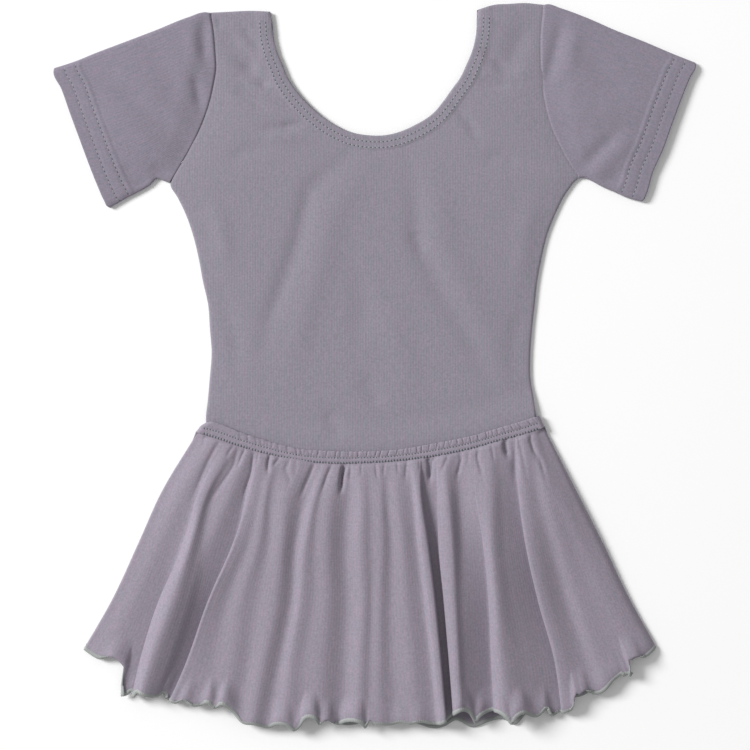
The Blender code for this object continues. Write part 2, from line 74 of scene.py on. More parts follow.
# %% [markdown]
# A garment's edges are drawn through a few points with a French curve. This function does the
# same: it reads a smooth curve through rows of numbers, at many places at once. A route is such a
# curve through flat points, read by the share of the way along them.

# %% Curves through a few points
def curve_at(keys, rows, where):
    """The rows of numbers at each place, on a smooth curve through rows at rising keys."""
    keys, rows = np.array(keys, float), np.array(rows, float)
    where = np.clip(np.asarray(where, float), keys[0], keys[-1])
    spans = np.diff(keys)[:, None]
    steps = np.diff(rows, axis=0) / spans
    inner = (steps[:-1] * spans[1:] + steps[1:] * spans[:-1]) / (spans[:-1] + spans[1:])
    slopes = np.concatenate([steps[:1], inner, steps[-1:]])
    i = np.clip(np.searchsorted(keys, where, side="right") - 1, 0, len(keys) - 2)
    span = (keys[i + 1] - keys[i])[..., None]
    t = (where - keys[i])[..., None] / span
    start = (1 + 2 * t) * (1 - t) ** 2
    return (start * rows[i] + t * (1 - t) ** 2 * span * slopes[i]
            + (1 - start) * rows[i + 1] + t * t * (t - 1) * span * slopes[i + 1])


def by_column(table, where):
    """Read a table whose first column holds the keys; gives one array for each other column."""
    found = curve_at([row[0] for row in table], [row[1:] for row in table], where)
    return [found[..., k] for k in range(found.shape[-1])]


def shares_along(points):
    """How far along its points a route is at each of them, from 0 to 1."""
    points = np.array(points, float)
    lengths = np.concatenate([[0.0], np.cumsum(np.linalg.norm(np.diff(points, axis=0), axis=1))])
    return lengths / lengths[-1]


def route_at(points, share):
    """Across and drop at a share of the way along a smooth route."""
    found = curve_at(shares_along(points), points, share)
    return found[..., 0], found[..., 1]


def eased(share):
    """A smooth step from 0 to 1 while share goes from 0 to 1."""
    share = np.clip(share, 0.0, 1.0)
    return share * share * (3 - 2 * share)


print("a curve through 0, 1, 0 is", float(curve_at((0, 1, 2), ((0,), (1,), (0,)), 1.5)[0]), "at three quarters")

# %% [markdown]
# Cloth starts as Blender's own grid, one cell for a little patch of cloth. Its points are then
# laid where the garment's shape says, the two edges of a tube are welded, and Solidify gives the
# wall. The grid's own UV map is laid out in metres of cloth, so the knit follows the cloth round
# every fold.

# %% Make one piece of cloth from a grid
def only(*chosen):
    """Select these objects alone and make the first one active."""
    bpy.ops.object.select_all(action="DESELECT")
    for piece in chosen:
        piece.select_set(True)
    bpy.context.view_layer.objects.active = chosen[0]


def laid_grid(name, columns, rows, place, tube=False, marks=()):
    """A grid laid by place(column, row): points, two measures along the cloth, all in mm, and marks."""
    bpy.ops.object.select_all(action="DESELECT")
    bpy.ops.mesh.primitive_grid_add(x_subdivisions=columns, y_subdivisions=rows, size=1)
    piece = bpy.context.object
    piece.name = piece.data.name = name
    mesh = piece.data
    corners = np.empty(len(mesh.vertices) * 3)
    mesh.vertices.foreach_get("co", corners)
    corners = corners.reshape(-1, 3)
    column = np.rint((corners[:, 0] + 0.5) * columns).astype(int)
    row = np.rint((0.5 - corners[:, 1]) * rows).astype(int)
    across, drop, height, wide, long, *values = place(column, row)
    mesh.vertices.foreach_set("co", to_metres(across, drop, height).ravel())
    used = np.empty(len(mesh.loops), int)
    mesh.loops.foreach_get("vertex_index", used)
    layer = mesh.uv_layers.active
    layer.name = "cloth"
    spread = np.stack([wide, long], axis=-1)[used] * MM
    layer.data.foreach_set("uv", spread.ravel())
    for mark, value in zip(marks, values):
        mesh.attributes.new(mark, "FLOAT", "POINT").data.foreach_set("value", value.astype(np.float32))
    mesh.update()
    if tube:
        bpy.ops.object.mode_set(mode="EDIT")
        bpy.ops.mesh.select_all(action="SELECT")
        bpy.ops.mesh.remove_doubles(threshold=1e-6)
        bpy.ops.object.mode_set(mode="OBJECT")
    return piece


def give_wall(piece, wall):
    """Turn a sheet into cloth of this thickness in mm, half of it to each side."""
    only(piece)
    bpy.ops.object.modifier_add(type="SOLIDIFY")
    solidify = piece.modifiers[-1]
    solidify.thickness = wall * MM
    solidify.offset = 0.0
    solidify.use_even_offset = False
    bpy.ops.object.modifier_apply(modifier=solidify.name)
    bpy.ops.object.shade_smooth()
    print(piece.name, "has", sum(len(face.vertices) - 2 for face in piece.data.polygons), "triangles")


# %% [markdown]
# Laid cloth is never quite flat. A crease is a line of points with a depth and a width in
# millimetres: a trough or a ridge of smooth section that fades out at both ends.

# %% Soft creases along a line
def crease_height(across, drop, creases):
    """Height that a table of creases adds at each place; a row is depth, width, points."""
    total = np.zeros(np.shape(across))
    for depth, width, points in creases:
        shares = shares_along(points)
        nearest = np.full(np.shape(across), np.inf)
        along = np.zeros(np.shape(across))
        for k in range(len(points) - 1):
            (x0, y0), (x1, y1) = points[k], points[k + 1]
            run, fall = x1 - x0, y1 - y0
            t = np.clip(((across - x0) * run + (drop - y0) * fall) / (run * run + fall * fall), 0, 1)
            away = np.hypot(across - x0 - t * run, drop - y0 - t * fall)
            closer = away < nearest
            nearest = np.where(closer, away, nearest)
            along = np.where(closer, shares[k] + (shares[k + 1] - shares[k]) * t, along)
        fade = eased(along / 0.3) * eased((1 - along) / 0.3)
        total += depth * (0.25 + 0.75 * fade) * np.exp(-(nearest / width) ** 2)
    return total


def distance_to(across, drop, points):
    """Distance in mm from each place to a line through points."""
    nearest = np.full(np.shape(across), np.inf)
    for (x0, y0), (x1, y1) in zip(points, points[1:]):
        run, fall = x1 - x0, y1 - y0
        t = np.clip(((across - x0) * run + (drop - y0) * fall) / (run * run + fall * fall), 0, 1)
        nearest = np.minimum(nearest, np.hypot(across - x0 - t * run, drop - y0 - t * fall))
    return nearest


# %% [markdown]
# The outline of the body. A row of the first table is one level of the garment: armhole, side
# seam, hip and leg opening, at the left and at the right. The brief below the waist is hidden by
# the skirt and is finished plainly.

# %% Outline of the body and the waist
BODY_SIDES = (
    (1.5, -93.0, 96.0), (6.0, -93.0, 95.7), (17.0, -91.5, 94.7), (29.0, -90.5, 94.5),
    (37.0, -90.0, 94.8), (47.0, -91.5, 95.5), (59.5, -94.5, 97.5), (71.5, -99.0, 101.0),
    (83.5, -105.0, 106.5), (94.5, -111.5, 112.8), (99.5, -114.5, 116.0), (103.0, -116.5, 113.5),
    (111.0, -112.5, 108.0), (118.0, -109.0, 104.5), (131.5, -104.0, 99.0), (145.5, -100.5, 95.5),
    (159.0, -98.0, 93.0), (172.5, -95.0, 91.5), (186.5, -94.0, 90.0), (200.0, -93.0, 89.0),
    (213.5, -94.0, 89.0), (227.5, -95.2, 91.0), (239.0, -96.2, 92.3), (250.0, -94.5, 91.5),
    (265.0, -93.0, 91.0), (285.0, -92.0, 90.5), (303.0, -80.0, 79.0), (325.0, -62.0, 61.0),
    (345.0, -45.0, 45.0), (362.0, -34.0, 34.0), (375.0, -30.0, 30.0),
)
LEFT_SHOULDER = ((-93.0, 6.0), (-82.5, 5.5), (-71.0, 5.0), (-59.5, 5.5))
RIGHT_SHOULDER = ((58.8, 4.5), (68.5, 1.5), (77.0, 1.0), (86.0, 0.5), (96.0, 1.5))
NECK = (
    (-59.5, 5.5), (-58.5, 12.0), (-58.0, 19.0), (-55.5, 29.0), (-52.5, 36.0), (-50.0, 42.5),
    (-45.5, 49.5), (-39.5, 56.5), (-32.0, 63.5), (-22.5, 70.0), (-14.0, 74.0), (-3.5, 76.0),
    (6.0, 76.0), (14.5, 74.0), (23.5, 70.0), (33.5, 63.5), (39.5, 56.5), (44.5, 49.5),
    (49.5, 42.5), (52.5, 36.0), (55.5, 29.0), (57.5, 22.0), (58.5, 15.5), (58.8, 4.5),
)
NECK_DROP = 76.0
BACK_NECK_DEEPER = 12.0
UNDERARM_DROP = 103.0
CROTCH_DROP = BODY_SIDES[-1][0]
WAIST = (
    (-103.0, 239.0, 246.0), (-92.5, 239.3, 249.3), (-76.5, 245.0, 254.7), (-59.0, 250.7, 259.5),
    (-42.5, 254.7, 262.8), (-28.0, 255.8, 264.3), (-7.0, 256.2, 264.2), (14.5, 255.0, 262.8),
    (36.0, 251.2, 260.0), (54.5, 247.5, 256.2), (71.5, 242.6, 251.4), (86.0, 238.3, 247.5),
    (98.0, 234.3, 243.3),
)
print("the neck is", round(NECK[-1][0] - NECK[0][0]), "mm wide and", round(NECK_DROP - NECK[0][1]), "mm deep")

# %% [markdown]
# Creases of the front. On the photographed garment they are faint: short puckers pull away from
# the neck binding, two long soft waves run from under the neck to the waist, and the side seams
# ripple a little. No two have the same length, depth or spacing.

# %% Creases of the front and the back
FRONT_CREASES = (
    (-0.7, 5.0, ((-14, 86), (-37, 107), (-45, 141), (-60, 181), (-64, 200))),
    (0.5, 8.0, ((-4, 92), (-24, 120), (-31, 150), (-44, 190), (-50, 216))),
    (-0.55, 6.0, ((20, 86), (23, 113), (25, 136), (37, 164), (52, 187), (63, 210), (70, 226))),
    (0.45, 9.0, ((32, 92), (36, 118), (40, 138), (53, 165), (68, 190))),
    (-0.5, 3.5, ((21, 130), (25, 137), (27, 145))),
    (-0.45, 5.0, ((-8, 214), (-2, 221), (4, 230))),
    (-0.5, 4.5, ((-27, 232), (-22, 243), (-19, 250))),
    (-0.6, 2.2, ((-66, 72), (-55, 71.5), (-43, 72))),
    (0.4, 3.0, ((-64, 77), (-54, 78), (-42, 78.5))),
    (-1.1, 2.6, ((-77, 33), (-69, 40), (-59, 50))),
    (-0.4, 3.0, ((-80, 46), (-72, 55), (-61, 62))),
    (-1.0, 2.6, ((60, 27), (68, 32), (75, 39))),
    (-0.55, 2.6, ((57, 44.5), (66, 46), (78, 49))),
    (-0.6, 2.6, ((45, 59), (53, 68), (60, 79))),
    (-0.35, 4.0, ((-84, 90), (-72, 84), (-58, 82))),
    (-0.4, 4.0, ((84, 92), (72, 88), (60, 90))),
    (0.5, 5.0, ((-95, 112), (-88, 126), (-84, 150))),
    (0.45, 6.0, ((92, 112), (86, 130), (83, 160))),
    (-0.4, 5.0, ((-88, 165), (-80, 188), (-78, 214))),
    (-0.4, 5.0, ((84, 172), (79, 198), (81, 220))),
    (-0.35, 7.0, ((-12, 150), (-6, 172), (-10, 196))),
    (0.3, 8.0, ((8, 170), (14, 200), (22, 226))),
    (-1.0, 2.2, ((-76, 14), (-69.5, 22), (-64.5, 27.5))),
    (-0.9, 6.5, ((-88, 14), (-77, 30), (-70, 48))),
    (-0.9, 6.5, ((88, 10), (80, 28), (72, 46))),
    (-0.5, 1.8, ((-72.5, 29.5), (-69.5, 34.5), (-66.5, 38.5))),
    (-0.45, 1.7, ((-65.5, 46.7), (-62, 46.6), (-59, 46.2))),
    (-0.5, 2.0, ((-54.5, 71), (-46.5, 70), (-40, 68.5))),
    (-0.45, 1.8, ((-90, 9), (-89, 12), (-88, 15))),
)
BACK_CREASES = (
    (0.5, 8.0, ((-40, 110), (-30, 160), (-44, 215))),
    (0.45, 7.0, ((36, 120), (46, 170), (40, 220))),
    (0.4, 5.0, ((2, 100), (-4, 140), (3, 190))),
)
print(len(FRONT_CREASES), "creases on the front")

# %% [markdown]
# The front and the back are each one sheet from the shoulder seams to the crotch. The rows lie
# close together under the neck, where the turned edge is, and the columns lie close together at
# the sides, where the cloth rolls over to meet the other layer. Beside the armhole the cloth goes
# on as a seam allowance under the sleeve. The body lifts where the waist casing passes under it.

# %% Lay the front and the back
NECK_BAND = 7.6         # width of the turned neck edge, with its two rows of stitches
NECK_BAND_HEIGHT = 0.35
CROWN = 1.5             # how far the laid front stands up in its middle
CROWN_RUN = 14.0
ROLL = 1.3              # radius over which an edge turns down
ALLOWANCE = 1.6         # seam allowance under the sleeve
LIFT_RUN = 20.0
SIDE_STEPS = (0.0, 0.35, 0.8, 1.3, 1.9, 2.8)


def top_columns():
    """Across and drop of the top edge's points from the left armhole to the right one."""
    left, right = LEFT_SHOULDER, RIGHT_SHOULDER
    left_width, right_width = left[-1][0] - left[0][0], right[-1][0] - right[0][0]
    shoulder = np.concatenate([SIDE_STEPS, np.linspace(4.2, left_width, 19)]) / left_width
    points = [route_at(left, shoulder)]
    points.append(route_at(NECK, np.linspace(0, 1, 104)[1:-1]))
    shoulder = 1 - np.concatenate([SIDE_STEPS, np.linspace(4.2, right_width, 20)])[::-1] / right_width
    points.append(route_at(right, shoulder))
    return np.concatenate([p[0] for p in points]), np.concatenate([p[1] for p in points])


TOP_ACROSS, TOP_DROP = top_columns()
CHEST = 190.0           # width over which the columns below the edge are spaced evenly
EVEN_SHARES = np.concatenate([
    np.array(SIDE_STEPS) / CHEST, np.linspace(4.2, CHEST - 4.2, len(TOP_ACROSS) - 2 * len(SIDE_STEPS)) / CHEST,
    1 - np.array(SIDE_STEPS)[::-1] / CHEST])
FAN_RUN = 60.0          # the columns are evenly spaced from here on
EDGE_ROWS = 13          # rows under the top edge, EDGE_STEP apart
EDGE_STEP = 0.75
UPPER_ROWS = 132
BRIEF_ROWS = 44


def roll_down(side, amount):
    """How far cloth turns down at a distance side from its edge."""
    near = np.clip((ROLL - side) / ROLL, 0.0, 1.0)
    return amount * (1 - np.sqrt(1 - near * near))


def panel_place(front):
    """The function that lays the points of the front or of the back."""
    deeper = 0.0 if front else BACK_NECK_DEEPER
    middle = FRONT_MIDDLE if front else BACK_MIDDLE

    def place(column, row):
        across0, start = TOP_ACROSS[column], TOP_DROP[column]
        in_neck = (across0 > NECK[0][0]) & (across0 < NECK[-1][0])
        start = start + np.where(in_neck, deeper * np.clip((start - 5.5) / (NECK_DROP - 5.5), 0, 1), 0)
        left, right = by_column(BODY_SIDES, start)
        share = (across0 - left) / (right - left)
        waist_bottom = by_column(WAIST, across0)[1]
        casing_row = EDGE_ROWS + UPPER_ROWS
        end_of_edge = start + EDGE_ROWS * EDGE_STEP
        drop = np.where(
            row <= EDGE_ROWS, start + row * EDGE_STEP,
            end_of_edge + (waist_bottom - end_of_edge) * (row - EDGE_ROWS) / UPPER_ROWS)
        brief = np.clip((row - casing_row) / BRIEF_ROWS, 0, 1)
        drop = np.where(row > casing_row, waist_bottom + (CROTCH_DROP - waist_bottom) * brief, drop)
        share = share + (EVEN_SHARES[column] - share) * eased((drop - start) / FAN_RUN)
        left, right = by_column(BODY_SIDES, drop)
        side = np.minimum(share, 1 - share) * (right - left)
        outward = np.where(share < 0.5, -1.0, 1.0)
        at_armhole = 1 - eased((drop - UNDERARM_DROP + 5) / 5)
        moved = side - ALLOWANCE * at_armhole * np.clip(1 - side / 3, 0, 1)
        across = np.where(share < 0.5, left + moved, right - moved)
        inset = WALL / 2 * (1 - at_armhole)
        across = across - outward * inset * np.clip(1 - side / 8, 0, 1)
        waist_top = by_column(WAIST, across)[0]
        lift = BACK_LIFT * eased((drop - waist_top + LIFT_RUN) / (LIFT_RUN - 2))
        height = middle + lift
        creases = crease_height(across, drop, FRONT_CREASES if front else BACK_CREASES)
        from_neck = distance_to(across, drop, NECK)
        if front:
            from_top = distance_to(across, drop, LEFT_SHOULDER[:-1] + NECK + RIGHT_SHOULDER[1:])
            calm = (1 - np.exp(-side / CROWN_RUN)) * eased((waist_top - drop) / 30 + 0.15)
            calm = calm * (1 - np.exp(-(from_top + 3) / 18))
            height = height + CROWN * calm + creases * (0.65 + 0.7 * calm)
            band = 1 - eased((from_neck - NECK_BAND) / 0.9)
            height = height + NECK_BAND_HEIGHT * band
            height = height - roll_down(from_top, 0.5)
            height = height - roll_down(moved, FRONT_MIDDLE - SEAM_MIDDLE) * (1 - at_armhole)
            height = height - roll_down(moved, 0.25) * at_armhole
        else:
            height = height + np.clip(creases, 0, 1) * 0.5
            height = height + roll_down(moved, SEAM_MIDDLE - BACK_MIDDLE)
        return across, drop, height, across, -drop, from_neck

    return place


PANEL_COLUMNS = len(TOP_ACROSS) - 1
PANEL_ROWS = EDGE_ROWS + UPPER_ROWS + BRIEF_ROWS
front_panel = laid_grid("leotard_front", PANEL_COLUMNS, PANEL_ROWS, panel_place(True), marks=("from_neck",))
give_wall(front_panel, WALL)
back_panel = laid_grid("leotard_back", PANEL_COLUMNS, PANEL_ROWS, panel_place(False), marks=("from_neck",))
give_wall(back_panel, WALL)

# %% [markdown]
# Each sleeve is cut in one piece, folded along its top and seamed under the arm, so it is a
# flattened tube. Its far edge is the cuff, a wide turned hem held by two rows of stitches. The
# rings of the tube lie close together over that hem, at fixed distances from the cuff.

# %% Edges of the sleeves
LEFT_SLEEVE = {
    "top": ((-95.5, 5.5), (-106.5, 8.5), (-124.0, 15.5), (-141.0, 22.0), (-159.5, 29.0),
            (-170.5, 33.5), (-178.0, 36.0), (-182.6, 37.4)),
    "cuff": ((-182.6, 37.4), (-183.0, 39.5), (-178.5, 49.5), (-173.5, 63.5), (-168.5, 77.0), (-163.5, 90.5),
             (-158.0, 104.5), (-154.0, 113.5), (-152.2, 116.6), (-150.6, 116.8)),
    "underarm": ((-120.5, 101.5), (-123.5, 100.5), (-128.5, 104.5), (-133.5, 107.5), (-140.5, 111.0),
                 (-150.6, 116.8)),
}
RIGHT_SLEEVE = {
    "top": ((98.0, 0.9), (105.5, 3.0), (120.5, 8.5), (136.5, 15.5), (153.0, 22.0), (169.5, 29.0),
            (177.0, 32.0), (182.8, 34.3)),
    "cuff": ((182.8, 34.3), (183.2, 36.4), (180.0, 43.0), (174.5, 56.5), (169.5, 70.0), (164.5, 84.0),
             (158.5, 97.5), (154.8, 110.0), (153.2, 113.0), (151.8, 113.3)),
    "underarm": ((119.0, 100.0), (123.0, 101.5), (129.5, 105.0), (135.5, 107.5), (143.5, 111.0),
                 (151.8, 113.3)),
}
LEFT_CREASES = (
    (-0.9, 3.0, ((-97, 8), (-97.5, 20), (-96.5, 34))),
    (0.5, 4.0, ((-104, 12), (-104, 24), (-103, 38))),
    (-0.8, 3.0, ((-102.5, 40), (-101, 50), (-99, 62))),
    (-0.7, 5.0, ((-154, 46), (-137, 56), (-114, 73), (-107, 80))),
    (0.6, 6.0, ((-160, 60), (-140, 70), (-120, 86))),
    (-0.6, 5.0, ((-146, 93), (-137, 100), (-127, 104))),
    (-0.5, 4.0, ((-128, 92), (-122, 97), (-118, 101))),
    (-0.4, 6.0, ((-130, 26), (-118, 40), (-110, 58))),
    (0.4, 7.0, ((-150, 36), (-132, 46), (-120, 60))),
    (-0.2, 2.2, ((-99.6, 12.6), (-100, 19), (-97.5, 27.5), (-96, 34.5))),
    (-0.2, 2.2, ((-104, 42), (-102, 49.5), (-100.5, 57.5))),
)
RIGHT_CREASES = (
    (-0.9, 3.5, ((107, 9), (105, 20), (101, 36), (97.5, 48))),
    (0.5, 4.0, ((115, 14), (113, 26), (110, 40))),
    (-0.8, 4.0, ((116, 97), (128, 85), (140, 73))),
    (0.5, 5.0, ((124, 100), (135, 88), (147, 78))),
    (-0.5, 4.0, ((128, 103), (135, 101), (142, 97))),
    (-0.5, 6.0, ((120, 30), (132, 44), (146, 52))),
    (0.4, 7.0, ((112, 58), (126, 64), (142, 62))),
    (-0.4, 5.0, ((106, 66), (114, 74), (124, 76))),
)


def armhole_edge(side, fine=80):
    """The body's own armhole from the shoulder to the underarm, side 0 left and 1 right."""
    start = (LEFT_SHOULDER[0], RIGHT_SHOULDER[-1])[side][1]
    drops = np.linspace(start, UNDERARM_DROP if side == 0 else 100.5, fine)
    edge = by_column(BODY_SIDES, drops)[side]
    return [(a, d) for a, d in zip(edge, drops)]


print("the armhole's curve is", round(sum(math.dist(a, b) for a, b in zip(
    armhole_edge(0), armhole_edge(0)[1:]))), "mm long")

# %% [markdown]
# The patch between armhole, cuff, top fold and underarm seam is filled as a tailor's draft would
# be: each point takes its place from all four edges. Round the tube, the cells run along the
# front, round the underarm, back under the sleeve, and round the top fold.

# %% Lay the sleeves
CUFF_HEM = 15.5         # depth of the turned hem
CUFF_STITCHES = (6.7, 13.2)
SLEEVE_CROWN = 1.6
FLAT_CELLS, TURN_CELLS = 62, 8
HEM_RINGS, SLEEVE_RINGS = 24, 44


def between_edges(edges, armhole, s, v):
    """Across and drop in the patch; s runs from the top fold to the underarm, v to the cuff."""
    near, far = route_at(armhole, s), route_at(edges["cuff"], s)
    top_route = (armhole[0],) + edges["top"]
    low_route = (armhole[-1],) + edges["underarm"]
    start, end = route_at(top_route, v), route_at(low_route, v)
    corners = (armhole[0], armhole[-1], edges["cuff"][0], edges["cuff"][-1])
    return [
        (1 - v) * near[k] + v * far[k] + (1 - s) * start[k] + s * end[k]
        - (1 - v) * ((1 - s) * corners[0][k] + s * corners[1][k])
        - v * ((1 - s) * corners[2][k] + s * corners[3][k])
        for k in (0, 1)
    ]


def cuff_share(edges, armhole, s, from_cuff):
    """The share v along the sleeve that lies this far in mm from its cuff."""
    near, far = route_at(armhole, s), route_at(edges["cuff"], s)
    return 1 - from_cuff / np.hypot(near[0] - far[0], near[1] - far[1])


def sleeve_place(edges, side, creases):
    """The function that lays the points of one sleeve's tube."""
    armhole = armhole_edge(side)
    outward = (-1, 1)[side]
    cells = 2 * (FLAT_CELLS + TURN_CELLS)

    def place(column, row):
        turned = column / cells
        column = column % cells
        part = np.digitize(column, (FLAT_CELLS, FLAT_CELLS + TURN_CELLS, 2 * FLAT_CELLS + TURN_CELLS))
        along = np.choose(part, (
            column / FLAT_CELLS, (column - FLAT_CELLS) / TURN_CELLS,
            (column - FLAT_CELLS - TURN_CELLS) / FLAT_CELLS,
            (column - 2 * FLAT_CELLS - TURN_CELLS) / TURN_CELLS))
        hem = (row - SLEEVE_RINGS) / HEM_RINGS
        guess = np.choose(part, (along, 1 + 0 * along, 1 - along, 0 * along))
        hem_start = cuff_share(edges, armhole, guess, CUFF_HEM + 2.5)
        v = np.where(row <= SLEEVE_RINGS, hem_start * row / SLEEVE_RINGS, hem_start + (1 - hem_start) * hem)
        from_cuff = (1 - v) / (1 - hem_start) * (CUFF_HEM + 2.5)
        top = FRONT_MIDDLE + 0.1 + 0.4 * v
        radius = (top - BACK_MIDDLE) / 2
        middle = (top + BACK_MIDDLE) / 2
        upper, lower = between_edges(edges, armhole, 0 * v, v), between_edges(edges, armhole, 0 * v + 1, v)
        width = np.hypot(upper[0] - lower[0], upper[1] - lower[1])
        inset = radius + WALL / 2
        turn = math.pi * along
        reach = np.choose(part, (
            inset + (width - 2 * inset) * along, width - inset + radius * np.sin(turn),
            width - inset - (width - 2 * inset) * along, inset - radius * np.sin(turn)))
        height = np.choose(part, (
            middle + radius, middle + radius * np.cos(turn), middle - radius, middle - radius * np.cos(turn)))
        s = np.clip(reach / width, 0, 1)
        across, drop = between_edges(edges, armhole, s, v)
        across = across + outward * GAP * (1 - v)
        puff = SLEEVE_CROWN * np.sin(math.pi * s) ** 0.7 * eased(v / 0.25) * (1 - 0.55 * eased((v - 0.6) / 0.4))
        on_top = part == 0
        band = 1 - eased((from_cuff - CUFF_HEM) / 1.0)
        for depth, row_at in zip((0.7, 1.0), CUFF_STITCHES):
            band = band - depth * np.exp(-((from_cuff - row_at) / 0.7) ** 2)
        edge_fade = eased(s / 0.05) * eased((1 - s) / 0.05)
        height = height + np.where(on_top, (
            puff + (1.1 * crease_height(across, drop, creases) + 0.3 * band) * edge_fade
            - roll_down(np.hypot(across - between_edges(edges, armhole, s, 0 * v)[0],
                                 drop - between_edges(edges, armhole, s, 0 * v)[1]), 0.45)), 0)
        wide = np.where(turned <= FLAT_CELLS / cells, reach, 2 * width * turned)
        return across, drop, height, wide, from_cuff, from_cuff

    return place


def make_sleeve(name, edges, side, creases):
    """One sleeve with its wall; the mark says how far each point lies from the cuff."""
    cells = 2 * (FLAT_CELLS + TURN_CELLS)
    return laid_grid(name, cells, SLEEVE_RINGS + HEM_RINGS, sleeve_place(edges, side, creases),
                     tube=True, marks=("from_cuff",))


left_sleeve = make_sleeve("leotard_sleeve_left", LEFT_SLEEVE, 0, LEFT_CREASES)
right_sleeve = make_sleeve("leotard_sleeve_right", RIGHT_SLEEVE, 1, RIGHT_CREASES)
for sleeve in (left_sleeve, right_sleeve):
    only(sleeve)
    bpy.ops.object.mode_set(mode="EDIT")
    bpy.ops.mesh.select_all(action="SELECT")
    if sleeve is left_sleeve:
        bpy.ops.mesh.flip_normals()
    bpy.ops.object.mode_set(mode="OBJECT")
    give_wall(sleeve, WALL)

# %% [markdown]
# The waist casing is a doubled strip drawn up by its elastic. Above the first row of stitches it
# makes a small heading, between the two rows runs a smooth channel, and the whole goes round the
# body as a flattened ring. The heading is pinched into narrow pleats. Their places, depths and
# slants come from sines of the pleat's number, so that no two are alike and every run is the same.

# %% Lay the waist casing
CASING_TOP_ENDS = (-97.8, 94.2)
CASING_LOW_ENDS = (-102.0, 97.2)
CASING_WALL = 0.8
CASING_HEIGHT = SKIRT_BED + BAND
CASING_FRONT, CASING_TURN, CASING_BACK, CASING_ROWS = 560, 10, 180, 20
CASING_SHORT = 1.3      # the modelled casing ends this far above the solid's lower edge
CASING_STITCHES = (0.52, 0.905)       # the two rows, as shares of the way down the casing
CASING_ROUND = 4.0      # how far its upper left corner is rounded off
PLEATS = 92
PLEAT_HALF_WIDTH = 0.36
SMOOTH_UNTIL = -81.0    # the heading is nearly smooth at its left end


def pleats_at(across, down):
    """Depth of the heading's narrow pleats at places this far down from its top, in mm."""
    total = np.zeros(np.shape(across))
    step = (CASING_TOP_ENDS[1] - CASING_TOP_ENDS[0]) / PLEATS
    for k in range(PLEATS):
        place = CASING_TOP_ENDS[0] + step * (k + 0.3 * math.sin(2.3 * k) + 0.2 * math.sin(5.1 * k))
        depth = 0.1 + 0.28 * math.sin(1.7 * k) ** 2
        slant = 0.28 * math.sin(3.3 * k) + 0.45 * float(eased((place - 55) / 30))
        if place < SMOOTH_UNTIL:
            depth *= 0.2
        total += depth * np.exp(-((across - place - slant * down) / PLEAT_HALF_WIDTH) ** 2)
    return total


def casing_place(column, row):
    """Points of the casing's ring: front, right end, back, left end."""
    cells = (CASING_FRONT, CASING_TURN, CASING_BACK, CASING_TURN)
    starts = np.concatenate([[0], np.cumsum(cells)])
    past_front = np.clip((column - starts[1]) / (starts[-1] - starts[1]), 0, 1)
    column = column % starts[-1]
    part = np.digitize(column, starts[1:-1])
    along = (column - starts[part]) / np.array(cells)[part]
    v = row / CASING_ROWS
    left, right = [a + (b - a) * v for a, b in zip(CASING_TOP_ENDS, CASING_LOW_ENDS)]
    rounded = CASING_ROUND * np.clip(1 - v / 0.5, 0, 1) ** 2
    left = left + rounded
    middle = CASING_HEIGHT / 2
    radius = middle - BAND / 2
    turn = math.pi * along
    near, far = left + middle, right - middle
    across = np.choose(part, (
        near + (far - near) * along, far + radius * np.sin(turn),
        far + (near - far) * along, near - radius * np.sin(turn)))
    height = np.choose(part, (
        middle + radius + 0 * along, middle + radius * np.cos(turn),
        middle - radius + 0 * along, middle - radius * np.cos(turn)))
    top, bottom = by_column(WAIST, across)
    bottom = bottom - CASING_SHORT
    first, second = CASING_STITCHES
    down = (bottom - top) * v
    pleat = pleats_at(across, down)
    heading = eased((first - v) / first * 2.2)
    at_rows = np.exp(-((v - first) / 0.08) ** 2) + np.exp(-((v - second) / 0.08) ** 2)
    on_front = np.where(part == 0, 1.0, 0.0) * eased(np.minimum(across - left, right - across) / 5)
    height = height + on_front * (
        0.25 * heading - pleat * (1.3 * heading + 0.6 * at_rows) - 0.15 * at_rows
        - 0.5 * eased((v - second) / (1 - second)) - 0.2 * eased(1 - v / 0.08))
    drop = top + down + 0.9 * pleat * heading * on_front * (1 - v)
    front_width = CASING_LOW_ENDS[1] - CASING_LOW_ENDS[0]
    wide = np.where(past_front > 0, front_width * (1 + past_front), across - left)
    return across, drop, height, wide, -drop, v


casing_cells = CASING_FRONT + CASING_BACK + 2 * CASING_TURN
casing = laid_grid("skirt_waist_casing", casing_cells, CASING_ROWS, casing_place, tube=True,
                   marks=("down_casing",))
give_wall(casing, CASING_WALL)

# %% [markdown]
# The skirt front hangs from the casing in folds that fan out to the hem. Every fold is a line of
# this table: how far across it lies at the casing and at five drops, and how high it rises at
# three. An edge that stands beyond its foot overhangs it, as the deep folds at the left and the
# lip right of the middle do. A soft ridge or valley is drawn where it looks lightest or darkest.
# With the lamp at the left those are its slopes, so the true crest or floor is put half-way to the
# next line.

